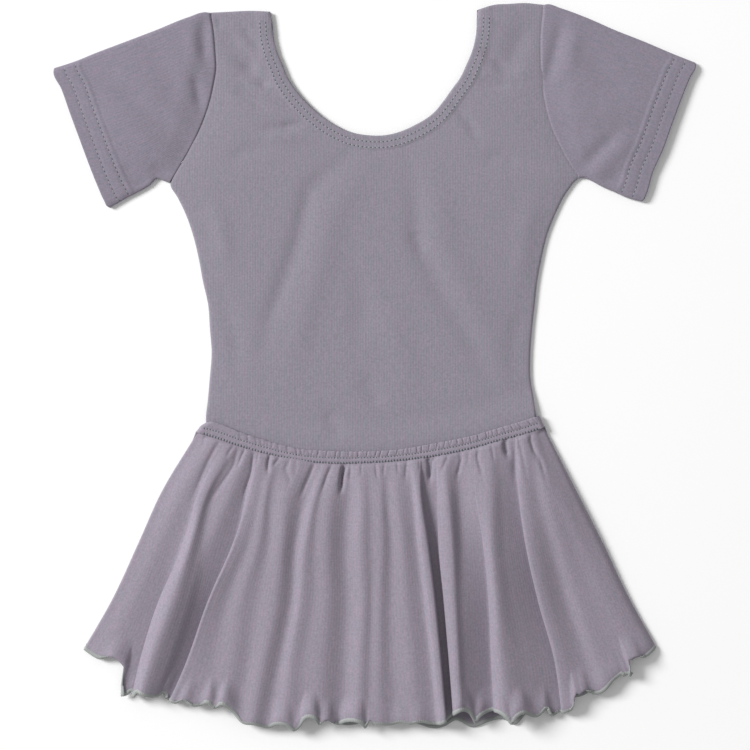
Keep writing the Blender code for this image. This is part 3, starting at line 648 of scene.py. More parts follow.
# %% Folds of the skirt front
FOLD_DROPS = (280.0, 306.5, 341.0, 375.0, 415.0)
RISE_DROPS = (280.0, 341.0, 400.0)
FOLDS = (
    ("left edge", -101.5, -121.5, -133.5, -149.5, -169.0, -190.5, 0.0, 0.0, 0.0),
    ("crest", -95.0, -113.5, -123.5, -136.5, -152.0, -168.0, 0.6, 0.8, 1.2),
    ("foot", -88.0, -101.5, -110.0, -121.3, -132.0, -145.0, 0.5, 0.3, 0.8),
    ("edge", -84.0, -99.0, -106.5, -122.3, -133.0, -141.5, 2.2, 4.0, 2.8),
    ("crest", -81.0, -95.5, -103.5, -115.0, -127.0, -138.0, 2.8, 8.4, 7.8),
    ("slope", -77.0, -91.0, -98.0, -107.0, -118.0, -133.5, 1.2, 6.0, 5.6),
    ("slope", -72.5, -82.0, -91.5, -100.5, -112.0, -131.0, 2.4, 2.4, 2.4),
    ("foot", -68.5, -73.5, -79.5, -93.2, -105.3, -127.0, 0.6, 0.2, 0.6),
    ("edge", -66.0, -71.0, -79.3, -94.3, -106.3, -123.6, 2.4, 4.8, 2.6),
    ("crest", -64.0, -68.5, -76.0, -91.0, -102.0, -119.0, 2.8, 4.6, 3.4),
    ("valley", -62.0, -66.5, -73.5, -87.5, -96.5, -104.0, 2.8, 3.3, 3.8),
    ("ridge", -59.5, -63.5, -68.5, -80.0, -86.0, -94.0, 3.3, 4.2, 4.6),
    ("valley", -56.0, -59.8, -62.5, -71.5, -75.5, -84.0, 2.6, 3.3, 3.5),
    ("ridge", -50.0, -55.0, -57.0, -62.0, -68.0, -74.0, 3.7, 4.5, 4.9),
    ("valley", -35.5, -42.5, -47.5, -50.0, -57.5, -67.0, 1.8, 2.2, 2.6),
    ("ridge", -30.5, -35.5, -41.5, -45.0, -50.5, -56.0, 3.7, 4.2, 4.4),
    ("valley", -26.0, -31.5, -36.5, -38.5, -44.5, -46.5, 3.3, 3.6, 3.8),
    ("ridge", -22.0, -28.0, -30.5, -30.5, -35.5, -37.0, 3.7, 4.2, 4.3),
    ("valley", -17.0, -19.7, -22.0, -21.5, -22.5, -24.0, 1.8, 1.8, 1.8),
    ("ridge", -11.5, -10.0, -11.0, -10.0, -12.0, -13.5, 3.8, 4.2, 4.3),
    ("valley", -6.5, -5.0, -5.0, -3.5, -5.0, -5.0, 3.4, 3.6, 3.7),
    ("ridge", -1.0, 0.3, 1.5, 0.5, 0.0, -1.5, 3.8, 4.2, 4.2),
    ("valley", 5.0, 6.0, 7.0, 6.0, 6.0, 8.5, 3.0, 3.1, 3.0),
    ("ridge", 10.0, 9.0, 12.0, 13.0, 14.5, 17.5, 3.9, 4.5, 4.6),
    ("valley", 15.5, 17.5, 20.0, 23.5, 27.5, 31.0, 3.1, 3.3, 3.5),
    ("crest", 22.0, 24.3, 27.0, 31.0, 34.5, 38.5, 5.0, 5.8, 6.2),
    ("lip", 25.5, 26.3, 30.0, 34.2, 37.5, 41.0, 4.6, 5.6, 6.0),
    ("foot", 27.5, 26.8, 29.6, 33.5, 36.8, 40.0, 1.6, 0.5, 0.3),
    ("floor", 34.0, 35.0, 36.0, 39.2, 42.2, 45.2, 1.2, 0.9, 0.7),
    ("edge", 36.5, 37.0, 37.0, 40.0, 42.8, 45.8, 3.0, 5.0, 5.6),
    ("crest", 40.0, 41.5, 43.5, 45.0, 47.0, 49.0, 4.6, 7.4, 7.8),
    ("slope", 47.5, 48.5, 49.5, 50.5, 52.0, 55.0, 1.6, 4.6, 5.0),
    ("floor", 56.0, 56.5, 60.8, 64.2, 65.8, 68.0, 3.2, 0.6, 0.3),
    ("edge", 58.0, 58.5, 61.8, 65.2, 66.8, 69.5, 3.8, 4.8, 5.0),
    ("crest", 65.5, 66.0, 66.5, 69.5, 72.7, 78.0, 5.0, 8.4, 8.6),
    ("slope", 71.0, 73.0, 74.5, 79.0, 86.0, 91.0, 2.6, 5.0, 5.2),
    ("foot", 79.5, 81.5, 86.0, 94.2, 103.2, 106.5, 0.5, 0.2, 0.6),
    ("edge", 81.0, 82.3, 85.6, 93.2, 102.6, 108.0, 3.2, 5.2, 3.0),
    ("crest", 85.0, 86.0, 90.0, 98.0, 107.0, 112.5, 3.8, 5.6, 3.6),
    ("valley", 88.0, 89.5, 95.5, 104.5, 115.5, 128.0, 2.8, 2.6, 2.4),
    ("ridge", 91.0, 95.0, 102.0, 112.0, 123.0, 137.0, 3.3, 3.6, 3.7),
    ("valley", 92.5, 100.5, 109.0, 119.5, 132.0, 146.0, 2.8, 3.1, 3.2),
    ("ridge", 94.5, 106.5, 116.5, 130.0, 145.0, 161.0, 2.7, 2.9, 3.0),
    ("valley", 95.5, 110.5, 123.0, 138.0, 155.0, 170.5, 2.2, 2.2, 2.3),
    ("right edge", 97.0, 115.5, 129.0, 145.5, 164.5, 186.5, 0.0, 0.0, 0.0),
)
SEEN_LINES = ("ridge", "valley")
LAST_FOLD = len(FOLDS) - 1
print(len(FOLDS), "fold lines")

# %% [markdown]
# A lettuce hem is stretched while it is overlocked, so it is longer than the cloth above it and
# flutters. A row here is one crest or foot of that flutter: how far across and down it lies, how
# high it rises, and how much of the thread band faces up; at 0 the edge is turned under.

# %% Lettuce hems of the skirt
FRONT_HEM = (
    (-165.5, 369.5, 0.3, 0.9), (-161.0, 372.5, 0.3, 0.9), (-156.5, 374.5, 0.5, 0.9), (-152.5, 373.5, 1.5, 0.3),
    (-148.5, 373.0, 2.4, 0.0), (-145.0, 375.5, 2.2, 0.0), (-141.5, 380.0, 1.6, 0.0), (-140.0, 384.0, 1.2, 0.5),
    (-139.2, 390.0, 0.8, 0.8), (-134.0, 393.0, 0.4, 0.8), (-128.0, 395.3, 0.4, 0.8), (-122.5, 395.0, 0.6, 0.7),
    (-120.5, 393.6, 1.0, 0.7), (-118.0, 397.0, 0.8, 0.6), (-113.5, 399.5, 0.3, 0.6), (-108.5, 397.5, 1.6, 0.3),
    (-103.5, 401.0, 0.4, 0.6), (-99.5, 400.8, 0.5, 0.7), (-94.5, 399.0, 2.4, 1.0), (-91.0, 402.0, 0.8, 0.8),
    (-86.5, 399.8, 2.6, 1.0), (-82.5, 402.5, 1.8, 0.8), (-79.0, 406.5, 0.8, 0.6), (-77.0, 409.0, 0.4, 0.5),
    (-68.0, 411.5, 0.3, 0.6), (-60.5, 413.3, 0.5, 0.7), (-54.5, 411.2, 1.8, 0.8), (-50.0, 412.0, 1.4, 0.8),
    (-46.0, 415.0, 0.4, 0.7), (-42.5, 412.5, 1.2, 0.9), (-39.5, 408.0, 2.8, 1.0), (-36.5, 406.8, 3.4, 1.0),
    (-33.5, 408.5, 2.6, 1.0), (-31.5, 411.3, 1.0, 0.8), (-28.5, 409.0, 1.8, 0.1), (-26.5, 408.2, 2.2, 0.0),
    (-23.5, 410.5, 1.2, 0.2), (-20.5, 411.5, 0.6, 0.9), (-16.5, 409.8, 2.2, 1.0), (-11.5, 409.3, 2.6, 1.0),
    (-8.0, 410.3, 1.8, 1.0), (-4.5, 412.5, 0.6, 0.9), (-3.5, 410.0, 0.8, 0.3), (1.0, 411.0, 0.8, 0.5),
    (9.5, 411.5, 0.6, 0.5), (15.0, 410.2, 1.2, 0.5), (20.5, 411.0, 0.6, 0.5), (26.0, 409.8, 1.0, 0.5),
    (32.0, 411.0, 0.5, 0.6), (37.5, 411.0, 0.5, 0.7), (41.5, 408.8, 1.2, 0.9), (45.5, 405.0, 1.4, 1.0),
    (50.5, 402.8, 1.6, 1.0), (54.5, 405.5, 1.4, 1.0), (57.3, 410.5, 0.6, 0.9), (60.0, 407.0, 1.8, 1.0),
    (64.5, 404.3, 1.4, 1.0), (69.5, 404.0, 1.6, 1.0), (74.5, 407.0, 1.2, 1.0), (77.8, 410.5, 0.6, 0.9),
    (80.5, 406.5, 2.0, 1.0), (84.5, 404.3, 2.8, 1.0), (88.0, 405.8, 1.6, 0.8), (91.0, 407.0, 0.7, 0.7),
    (95.5, 405.0, 1.2, 0.7), (97.8, 402.5, 1.6, 0.6), (99.5, 406.0, 0.5, 0.6), (105.0, 405.0, 0.4, 0.6),
    (110.5, 403.8, 0.5, 0.7), (112.5, 401.5, 1.0, 0.5), (113.0, 397.5, 1.8, 0.0), (116.5, 394.0, 2.4, 0.0),
    (120.0, 392.0, 2.2, 0.2), (123.5, 393.8, 0.8, 0.8), (127.5, 394.2, 0.5, 0.9), (131.5, 391.8, 0.5, 0.9),
    (136.0, 386.5, 0.5, 0.8), (140.5, 383.0, 0.5, 0.8), (142.8, 381.3, 0.8, 0.7), (143.2, 378.0, 1.6, 0.0),
    (146.0, 374.0, 2.6, 0.0), (150.0, 372.6, 2.2, 0.1), (153.5, 373.5, 0.8, 0.7), (157.5, 370.8, 0.4, 0.9),
    (162.0, 365.5, 0.2, 0.9),
)
BACK_HEM = (
    (-164.0, 368.0, 0.0), (-150.0, 371.0, 0.6), (-138.0, 380.0, 0.2), (-130.0, 388.0, 0.9),
    (-115.0, 394.0, 0.2), (-100.0, 396.0, 1.0), (-85.0, 395.0, 0.1), (-77.0, 401.0, 0.4),
    (-68.0, 412.5, 0.1), (-60.0, 409.0, 1.0), (-48.0, 409.0, 0.2), (-38.0, 405.0, 1.0),
    (-28.0, 407.0, 0.2), (-20.0, 411.5, 0.9), (-11.0, 412.0, 0.1), (-3.0, 409.0, 1.0),
    (8.0, 409.0, 0.1), (18.0, 409.5, 1.0), (26.0, 412.0, 0.2), (33.0, 414.0, 0.8),
    (40.0, 413.0, 0.1), (46.0, 409.5, 1.0), (56.0, 413.5, 0.2), (66.0, 410.0, 1.0),
    (74.0, 409.0, 0.1), (80.0, 412.0, 0.8), (88.0, 404.5, 0.1), (98.0, 402.0, 1.0),
    (106.0, 402.5, 0.1), (113.0, 397.0, 0.9), (119.0, 395.5, 0.1), (127.0, 390.0, 1.0),
    (136.0, 384.0, 0.1), (145.0, 374.0, 0.8), (160.0, 366.5, 0.0),
)
print(len(FRONT_HEM), "crests and feet in the front hem,", len(BACK_HEM), "in the back one")

# %% [markdown]
# Right below the casing the gathers are small and close: dark wedges that run out into the folds.
# They are creases like those of the body, each with its own depth, width and path.

# %% Gathers under the casing
GATHERS = (
    (-0.7, 1.3, ((-86, 247), (-90.5, 254), (-94.5, 261.5), (-101, 276.5), (-104, 284))),
    (-0.5, 1.0, ((-78, 250), (-82.5, 256), (-84.5, 260))),
    (-0.7, 1.3, ((-77.5, 252), (-79.5, 263), (-82.5, 268.5), (-87.5, 275.5), (-93, 283))),
    (-0.7, 1.0, ((-72.5, 252.5), (-76, 260), (-78, 265.5))),
    (-0.7, 1.1, ((-68.5, 254), (-70, 268.5), (-73, 276.5), (-75, 284))),
    (-1.3, 1.2, ((-59, 256), (-60.5, 263), (-60.5, 269))),
    (-0.7, 1.0, ((-53, 258), (-55, 261), (-58, 264.5))),
    (-0.7, 1.1, ((-47.5, 259), (-50.5, 266), (-46.5, 277))),
    (-0.9, 1.3, ((-33, 260), (-36, 267.5), (-39.5, 275.5), (-42.5, 283))),
    (-0.7, 1.2, ((-23, 261), (-27, 270), (-30, 279.5))),
    (-3.2, 1.2, ((-17.4, 262), (-18.4, 270), (-19.1, 279))),
    (-1.0, 1.0, ((-14.8, 262.5), (-17, 267), (-18.2, 271))),
    (-3.2, 1.3, ((29.5, 258), (31.6, 263), (31.6, 273))),
    (-0.8, 0.9, ((35.5, 258), (32.5, 263), (31.6, 268))),
    (-0.6, 1.0, ((42.5, 257), (40, 263), (37.5, 268.5))),
    (-0.9, 1.1, ((47.5, 254), (49.5, 260.5), (46.5, 272))),
    (-0.8, 1.1, ((59.5, 252.5), (58.5, 259.5), (62, 272))),
    (-3.0, 1.4, ((74, 247), (74.5, 254), (76, 259))),
    (-0.9, 2.0, ((79, 252), (80, 260), (80, 273))),
    (-0.5, 1.2, ((81, 245), (83.5, 255.5), (87, 272))),
    (-1.0, 1.2, ((89.5, 242), (88.6, 249.7), (90.5, 255.5), (94.5, 262), (97.5, 272))),
    (-0.4, 0.8, ((-95, 244.5), (-97, 250), (-98, 255))),
    (-0.4, 0.8, ((-65.5, 255), (-66.5, 260), (-67.5, 266))),
    (-0.4, 0.8, ((-44, 259.5), (-45, 265), (-45.5, 270))),
    (-0.5, 0.9, ((-14, 260.5), (-13.5, 267), (-14, 273))),
    (-0.4, 0.8, ((-7, 260.5), (-7.5, 266), (-7.5, 270))),
    (-0.5, 0.9, ((0.5, 260.5), (1, 267), (2, 273))),
    (-0.4, 0.8, ((6.5, 260), (5.5, 265), (5, 270))),
    (-0.4, 0.8, ((12.5, 259.5), (13, 264), (13.5, 269))),
    (-0.6, 1.0, ((19, 258.5), (18, 266), (17.5, 273))),
    (-0.4, 0.8, ((25, 258), (25.5, 263), (25.5, 268))),
    (-0.4, 0.8, ((53.5, 252), (53.5, 258), (53, 264))),
    (-0.5, 0.9, ((66, 249), (67, 256), (68, 262))),
)
print(len(GATHERS), "gathers")

# %% [markdown]
# The skirt front's sheet takes one column in twelve from the table and reads the rest from the
# curve. Its rows lie close together under the casing and at the hem. The last rows are the thread
# band, which lies flat where it faces up and turns down and under where it doesn't show.

# %% Lay the skirt front
GATHER_SHARE = 0.3      # share of a fold's rise that is left at the casing
BED_EDGE_RUN = 14.0
BRIEF_MARGIN, BRIEF_REACH = 4.0, 60.0
HEM_RUN = 14.0
BACK_WAVE = 1.1
HEM_BAND = 2.6
TUCK = 1.6              # how far the skirt's top goes up under the casing
CELLS_PER_FOLD = 11
EDGE_NUMBERS = (0.0, 0.02, 0.045, 0.08, 0.13)


def fold_lines(drop):
    """Across and rise of every fold line at each drop, with one line more beyond each end."""
    found = []
    for row in FOLDS:
        top = by_column(WAIST, row[1])[1] + GAP
        across = curve_at((top,) + FOLD_DROPS, [(value,) for value in row[1:7]], drop)[..., 0]
        rises = (row[7] * GATHER_SHARE,) + row[7:]
        rise = curve_at((top,) + RISE_DROPS, [(value,) for value in rises], drop)[..., 0]
        found.append((across, rise))
    for k, row in enumerate(FOLDS):
        if row[0] in SEEN_LINES:
            found[k] = ((found[k][0] + found[k + 1][0]) / 2, found[k][1])
    found = np.array(found)
    return np.concatenate([2 * found[:1] - found[1:2], found, 2 * found[-1:] - found[-2:-1]])


FINE_DROPS = np.arange(236.0, 420.0, 0.5)
FOLD_TABLE = fold_lines(FINE_DROPS)


def fold_at(number, drop):
    """Across and rise of the skirt front at a fold line's number, whole or between, at a drop."""
    first = np.clip(np.floor(number).astype(int), 0, LAST_FOLD - 1)
    t = number - first
    spot = np.clip((drop - FINE_DROPS[0]) / 0.5, 0, len(FINE_DROPS) - 1.001)
    low = spot.astype(int)
    part = spot - low
    a, b, c, d = [
        FOLD_TABLE[first + k, :, low].T * (1 - part) + FOLD_TABLE[first + k, :, low + 1].T * part for k in range(4)
    ]
    slope_b, slope_c = (c - a) / 2, (d - b) / 2
    start = (1 + 2 * t) * (1 - t) ** 2
    found = (start * b + t * (1 - t) ** 2 * slope_b + (1 - start) * c + t * t * (t - 1) * slope_c)
    return found[0], found[1]


def skirt_bed(across, drop, half_gap):
    """Height that the skirt front may come down to, over the brief and beside it."""
    left, right = by_column(BODY_SIDES, drop)
    beside = np.maximum(np.maximum(left - across, across - right), drop - CROTCH_DROP)
    over_brief = 1 - eased((beside - BRIEF_MARGIN) / BRIEF_REACH)
    at_edge = CLOTH + GAP
    return at_edge + (BACK_WAVE + (SKIRT_BED - at_edge - BACK_WAVE) * over_brief) * eased(half_gap / BED_EDGE_RUN)


def front_numbers():
    """The fold number of each of the skirt front's columns, closer together at its two edges."""
    inner = np.linspace(EDGE_NUMBERS[-1], LAST_FOLD - EDGE_NUMBERS[-1], LAST_FOLD * CELLS_PER_FOLD)
    return np.concatenate([EDGE_NUMBERS[:-1], inner, LAST_FOLD - np.array(EDGE_NUMBERS[:-1])[::-1]])


def front_steps():
    """How far down each row lies, as a share, with the thread band's rows left out."""
    return np.concatenate([np.linspace(0, 0.1, 16), np.linspace(0.1, 0.9, 46)[1:], np.linspace(0.9, 1, 16)[1:]])


FRONT_NUMBERS = front_numbers()
FRONT_STEPS = front_steps()
MIDDLE_DROP = 325.0     # the knit keeps its true width at this level
middle_line = np.stack(fold_at(FRONT_NUMBERS, np.full(len(FRONT_NUMBERS), MIDDLE_DROP)), axis=-1)
FRONT_WIDE = np.concatenate([[0.0], np.cumsum(np.linalg.norm(np.diff(middle_line, axis=0), axis=1))])
BAND_ROWS = 5


def skirt_front_place(column, row):
    """Points of the skirt front's sheet and, as a mark, how far each lies from the hem."""
    number = FRONT_NUMBERS[column]
    at_casing = curve_at(range(len(FOLDS)), [(line[1],) for line in FOLDS], number)[..., 0]
    casing_bottom = by_column(WAIST, at_casing)[1] - CASING_SHORT
    top = casing_bottom - TUCK
    hem = np.full(np.shape(number), 400.0)
    for _ in range(6):
        hem, flutter, show = by_column(FRONT_HEM, fold_at(number, hem)[0])
    show = np.clip(show, 0, 1)
    band_top = hem - HEM_BAND * show
    last = len(FRONT_STEPS) - 1
    share = FRONT_STEPS[np.minimum(row, last)]
    drop = top + (band_top - top) * share
    across, rise = fold_at(number, drop)
    side = np.minimum(np.abs(across - fold_at(0 * number, drop)[0]),
                      np.abs(across - fold_at(0 * number + LAST_FOLD, drop)[0]))
    rise = rise + crease_height(across, drop, GATHERS) * eased(side / 3)
    rise = rise + flutter * eased((drop - band_top) / HEM_RUN + 1)
    rise = rise - 0.35 * np.exp(-((band_top - drop) / 1.6) ** 2) * show
    height = skirt_bed(across, drop, side) + CLOTH / 2 + rise
    tucked = 1 - eased((drop - casing_bottom) / 1.6)
    height = height + (SKIRT_BED + 0.1 - height) * tucked * eased(side / 4)
    across = across - np.sign(across) * 1.1 * tucked * eased(1 - side / 6)
    height = height - roll_down(side, FRONT_MIDDLE - SEAM_MIDDLE)
    band = np.clip((row - last) / BAND_ROWS, 0, 1)
    further = fold_at(number, drop + 1.0)[0] - across
    outward = HEM_BAND * show - 1.9 * (1 - eased(show / 0.3))
    room = np.clip(height - 0.7, 0, HEM_BAND)
    fall = room * (1 - show * 0.9)
    drop = drop + outward * band
    across = across + further * outward * band
    height = height - fall * np.sin(math.pi / 2 * band)
    return across, drop, height, FRONT_WIDE[column], -drop, band_top - drop


FRONT_COLUMNS = len(FRONT_NUMBERS) - 1
FRONT_ROWS = len(FRONT_STEPS) - 1 + BAND_ROWS
skirt_front = laid_grid("skirt_front_cloth", FRONT_COLUMNS, FRONT_ROWS, skirt_front_place, marks=("from_hem",))
give_wall(skirt_front, WALL)

# %% [markdown]
# The skirt back lies flat on the floor under the front. Only its hem peeks out below, in waves of
# its own, so the sheet is simple and its rows lie close together at the hem.

# %% Lay the skirt back
BACK_COLUMNS = 300
BACK_WIDTH = 300.0      # mm of knit across the skirt back at half its length
BACK_STEPS = np.concatenate([np.linspace(0, 0.85, 18), np.linspace(0.85, 1, 20)[1:]])


def skirt_back_place(column, row):
    """Points of the skirt back's sheet and how far each lies from its hem."""
    s = column / BACK_COLUMNS
    top_across = CASING_LOW_ENDS[0] + (CASING_LOW_ENDS[1] - CASING_LOW_ENDS[0]) * s
    top = by_column(WAIST, top_across)[1] - TUCK
    hem = np.full(np.shape(s), 400.0)
    for _ in range(6):
        left, right = fold_at(0 * s, hem)[0], fold_at(0 * s + LAST_FOLD, hem)[0]
        hem, wave = by_column(BACK_HEM, left + (right - left) * s)
    drop = top + (hem - top) * BACK_STEPS[row]
    left, right = fold_at(0 * s, drop)[0], fold_at(0 * s + LAST_FOLD, drop)[0]
    across = left + (right - left) * s
    rise = wave * BACK_WAVE * eased((drop - hem) / HEM_RUN + 1)
    side = np.minimum(across - left, right - across)
    tucked = 1 - eased((drop - top - TUCK) / 3)
    height = BACK_MIDDLE + rise + roll_down(side, SEAM_MIDDLE - BACK_MIDDLE) + 0.9 * tucked
    return across, drop, height, s * BACK_WIDTH, -drop, hem - drop


skirt_back = laid_grid("skirt_back_cloth", BACK_COLUMNS, len(BACK_STEPS) - 1, skirt_back_place,
                       marks=("from_hem",))
give_wall(skirt_back, WALL)

# %% [markdown]
# The overlock thread wraps the hem's edge so closely that it reads as one ribbed cord. It is made
# as that: a tube of flattened section that follows the hem, thicker and thinner once for each
# wrap. The hem's route is read from the finished shape, at even steps along its true length.

# %% Overlock thread round the hems
WRAP_PITCH = 0.9
STEPS_PER_WRAP = 3
CORD_SIDES = 8
CORD_HALF_WIDTH = 1.35
CORD_HALF_THICKNESS = 0.6


def even_steps(points, step):
    """Numbers between 0 and the last point's, at which a line through points has even steps."""
    lengths = np.concatenate([[0.0], np.cumsum(np.linalg.norm(np.diff(points, axis=0), axis=1))])
    count = int(lengths[-1] / step)
    return np.interp(np.linspace(0, lengths[-1], count + 1), lengths, np.arange(len(points)))


def overlock(name, inner, outer):
    """A ribbed tube that covers the strip between two lines of points, in mm."""
    numbers = even_steps(outer, WRAP_PITCH / STEPS_PER_WRAP)

    def read(line):
        low = np.minimum(numbers.astype(int), len(line) - 2)
        part = (numbers - low)[:, None]
        return line[low] * (1 - part) + line[low + 1] * part

    inside, outside = read(inner), read(outer)
    along = np.gradient(outside, axis=0)
    along /= np.linalg.norm(along, axis=1)[:, None]
    wide = outside - inside
    wide -= along * np.sum(wide * along, axis=1)[:, None]
    size = np.linalg.norm(wide, axis=1)[:, None]
    wide = np.where(size > 0.3, wide / np.maximum(size, 0.3), [[0.0, 1.0, 0.0]])
    wide /= np.linalg.norm(wide, axis=1)[:, None]
    up = np.cross(wide, along)
    middle = outside - wide * (CORD_HALF_WIDTH - 0.25)
    count = len(numbers) - 1

    def place(column, row):
        turn = math.tau * (row % CORD_SIDES) / CORD_SIDES
        rib = 1 + 0.16 * np.cos(math.tau * column / STEPS_PER_WRAP)
        rib = rib * np.where((column == 0) | (column == count), 0.0, 1.0)
        point = middle[column] + (wide[column] * (CORD_HALF_WIDTH * np.cos(turn) * rib)[:, None]
                                  + up[column] * (CORD_HALF_THICKNESS * np.sin(turn) * rib)[:, None])
        point[:, 2] = np.maximum(point[:, 2], 0.12)
        return point[:, 0], point[:, 1], point[:, 2], column * WRAP_PITCH / STEPS_PER_WRAP, row * 0.7

    piece = laid_grid(name, count, CORD_SIDES, place, tube=True)
    only(piece)
    bpy.ops.object.mode_set(mode="EDIT")
    bpy.ops.mesh.select_all(action="SELECT")
    bpy.ops.mesh.normals_make_consistent(inside=False)
    bpy.ops.object.mode_set(mode="OBJECT")
    bpy.ops.object.shade_smooth()
    print(name, "follows", round(count * WRAP_PITCH / STEPS_PER_WRAP), "mm of hem")
    return piece


def line_of(place, columns, row):
    """The points of one row of a sheet."""
    found = place(np.arange(columns + 1), np.full(columns + 1, row))
    return np.stack(found[:3], axis=-1)


front_thread = overlock("skirt_front_overlock", line_of(skirt_front_place, FRONT_COLUMNS, FRONT_ROWS - BAND_ROWS),
                        line_of(skirt_front_place, FRONT_COLUMNS, FRONT_ROWS))
back_thread = overlock("skirt_back_overlock",
                       line_of(skirt_back_place, BACK_COLUMNS, len(BACK_STEPS) - 8),
                       line_of(skirt_back_place, BACK_COLUMNS, len(BACK_STEPS) - 1))

# %% [markdown]
# The stitches are real thread on the cloth. One stitch is a small round-ended rod from a sphere
# with few faces. It is copied along each row, turned to the row's direction, and laid on the
# cloth below it, which a ray finds. The copies of one row pattern are then joined.

# %% Rows of stitches
STITCH_SEGMENTS, STITCH_RINGS = 6, 4


def along_route(points, pitch, first):
    """Evenly spaced places and directions along a line, the first one a share of the pitch in."""
    fine = np.stack(route_at(points, np.linspace(0, 1, 400)), axis=-1)
    lengths = np.concatenate([[0.0], np.cumsum(np.linalg.norm(np.diff(fine, axis=0), axis=1))])
    where = np.arange(pitch * first, lengths[-1], pitch)
    across, drop = np.interp(where, lengths, fine[:, 0]), np.interp(where, lengths, fine[:, 1])
    ahead = np.stack([np.interp(where + 0.2, lengths, fine[:, k]) for k in (0, 1)], axis=-1)
    back = np.stack([np.interp(where - 0.2, lengths, fine[:, k]) for k in (0, 1)], axis=-1)
    return across, drop, ahead - back


# The same function also lays the dark rods that are painted shadow of the needle pits.
def sew(name, cloth_piece, routes, pitch, size, first=0.5, sink=0.08, from_above=True):
    """Lay marks of a size (length, width, height) along routes on cloth, all as one mesh."""
    bpy.ops.object.select_all(action="DESELECT")
    bpy.ops.mesh.primitive_uv_sphere_add(segments=STITCH_SEGMENTS, ring_count=STITCH_RINGS, radius=1)
    stitch = bpy.context.object
    bpy.ops.transform.rotate(value=math.pi / 2, orient_axis="Y", center_override=(0, 0, 0))
    bpy.ops.object.transform_apply(location=False, rotation=True, scale=False)
    down = -1 if from_above else 1
    copies = []
    for points in routes:
        for across, drop, heading in zip(*along_route(points, pitch, first)):
            start = Vector((across, LENGTH / 2 - drop, -down * 40.0)) * MM
            hit, spot, normal, _ = cloth_piece.ray_cast(start, Vector((0, 0, down)))
            if not hit:
                continue
            if normal.z * down > 0:
                normal.negate()
            ahead = Vector((heading[0], -heading[1], 0.0)).normalized()
            ahead = (ahead - normal * ahead.dot(normal)).normalized()
            beside = normal.cross(ahead)
            turn = Matrix((ahead, beside, normal)).transposed().to_4x4()
            scale = Matrix.Diagonal([value / 2 * MM for value in size] + [1])
            copy = stitch.copy()
            copy.data = stitch.data.copy()
            copy.matrix_world = Matrix.Translation(spot - normal * sink * MM) @ turn @ scale
            bpy.context.collection.objects.link(copy)
            copies.append(copy)
    bpy.data.objects.remove(stitch, do_unlink=True)
    only(*copies)
    bpy.ops.object.join()
    thread = bpy.context.object
    thread.name = thread.data.name = name
    bpy.ops.object.transform_apply(location=True, rotation=True, scale=True)
    bpy.ops.object.shade_smooth()
    print(name, "has", len(copies), "stitches")
    return thread


def beside_route(points, away):
    """A line through points moved sideways by away mm, to the left of its direction on the page."""
    fine = np.stack(route_at(points, np.linspace(0, 1, 120)), axis=-1)
    heading = np.gradient(fine, axis=0)
    heading /= np.linalg.norm(heading, axis=1)[:, None]
    return [tuple(p) for p in fine + np.stack([-heading[:, 1], heading[:, 0]], axis=-1) * away]


# %% [markdown]
# Two rows go round the neck, one hem gauge apart, two go round each cuff, and two run along the
# elastic. What shows of each stitch is a short light dash of thread, and beside it the pit where the
# needle drew the cloth down. The pit's shadow is painted: a dark flattened rod of painted shade lies
# there on the cloth. Both are laid in the same way, half a pitch apart. Along the drawn-up elastic
# the painted pit shadows are pulled into short strokes across the row.

# %% Sew the neck, the cuffs and the waist
NECK_ROWS = (3.5, 6.8)
NECK_PITCH, CUFF_PITCH, WAIST_PITCH = 2.4, 2.7, 1.7


def cuff_row(edges, side, from_cuff):
    """The row of stitches at this distance from a sleeve's cuff, on its front."""
    armhole = armhole_edge(side)
    s = np.linspace(0.01, 0.99, 60)
    across, drop = between_edges(edges, armhole, s, cuff_share(edges, armhole, s, from_cuff))
    return list(zip(across, drop))


def waist_row(share):
    """A row of stitches at a share of the way down the casing."""
    across = np.linspace(CASING_LOW_ENDS[0] + 3.5, CASING_LOW_ENDS[1] - 3.5, 60)
    top, bottom = by_column(WAIST, across)
    return list(zip(across, top + (bottom - CASING_SHORT - top) * share))


neck_rows = [beside_route(NECK, away)[2:-2] for away in NECK_ROWS]
neck_stitches = sew("neck_stitches", front_panel, neck_rows, NECK_PITCH, (1.2, 0.75, 0.5))
# After each row's thread come dark rods, painted shadow of the needle pits, half a pitch along.
neck_pit_painted_shade = sew("neck_needle_pit_painted_shade", front_panel, neck_rows, NECK_PITCH, (1.15, 1.0, 0.38), 1.0, 0.08)
left_rows = [cuff_row(LEFT_SLEEVE, 0, away) for away in CUFF_STITCHES]
left_stitches = sew("left_cuff_stitches", left_sleeve, left_rows, CUFF_PITCH, (1.3, 0.6, 0.45))
left_pit_painted_shade = sew("left_cuff_needle_pit_painted_shade", left_sleeve, left_rows, CUFF_PITCH, (1.2, 0.95, 0.4), 1.0, 0.08)
right_rows = [cuff_row(RIGHT_SLEEVE, 1, away) for away in CUFF_STITCHES]
right_stitches = sew("right_cuff_stitches", right_sleeve, right_rows, CUFF_PITCH, (1.3, 0.6, 0.45))
right_pit_painted_shade = sew("right_cuff_needle_pit_painted_shade", right_sleeve, right_rows, CUFF_PITCH, (1.2, 0.95, 0.4), 1.0, 0.08)
waist_rows = [waist_row(share) for share in CASING_STITCHES]
waist_stitches = sew("waist_stitches", casing, waist_rows, WAIST_PITCH, (0.6, 0.7, 0.45))
waist_pit_painted_shade = sew("waist_needle_pit_painted_shade", casing, waist_rows, WAIST_PITCH, (0.75, 1.9, 0.42), 1.0, 0.08)

# %% [markdown]
# Now the finishes. Colours are written as sRGB hex values, as a picker would show them, and one
# function turns them to the linear values that Blender's shaders use. One more function adds a
# node with its settings and links.

# %% Helpers for the finishes
def linear(hex_colour):
    """An sRGB hex colour as linear red, green, blue and alpha."""
    values = [int(hex_colour[k:k + 2], 16) / 255 for k in (1, 3, 5)]
    return [v / 12.92 if v <= 0.04045 else ((v + 0.055) / 1.055) ** 2.4 for v in values] + [1.0]


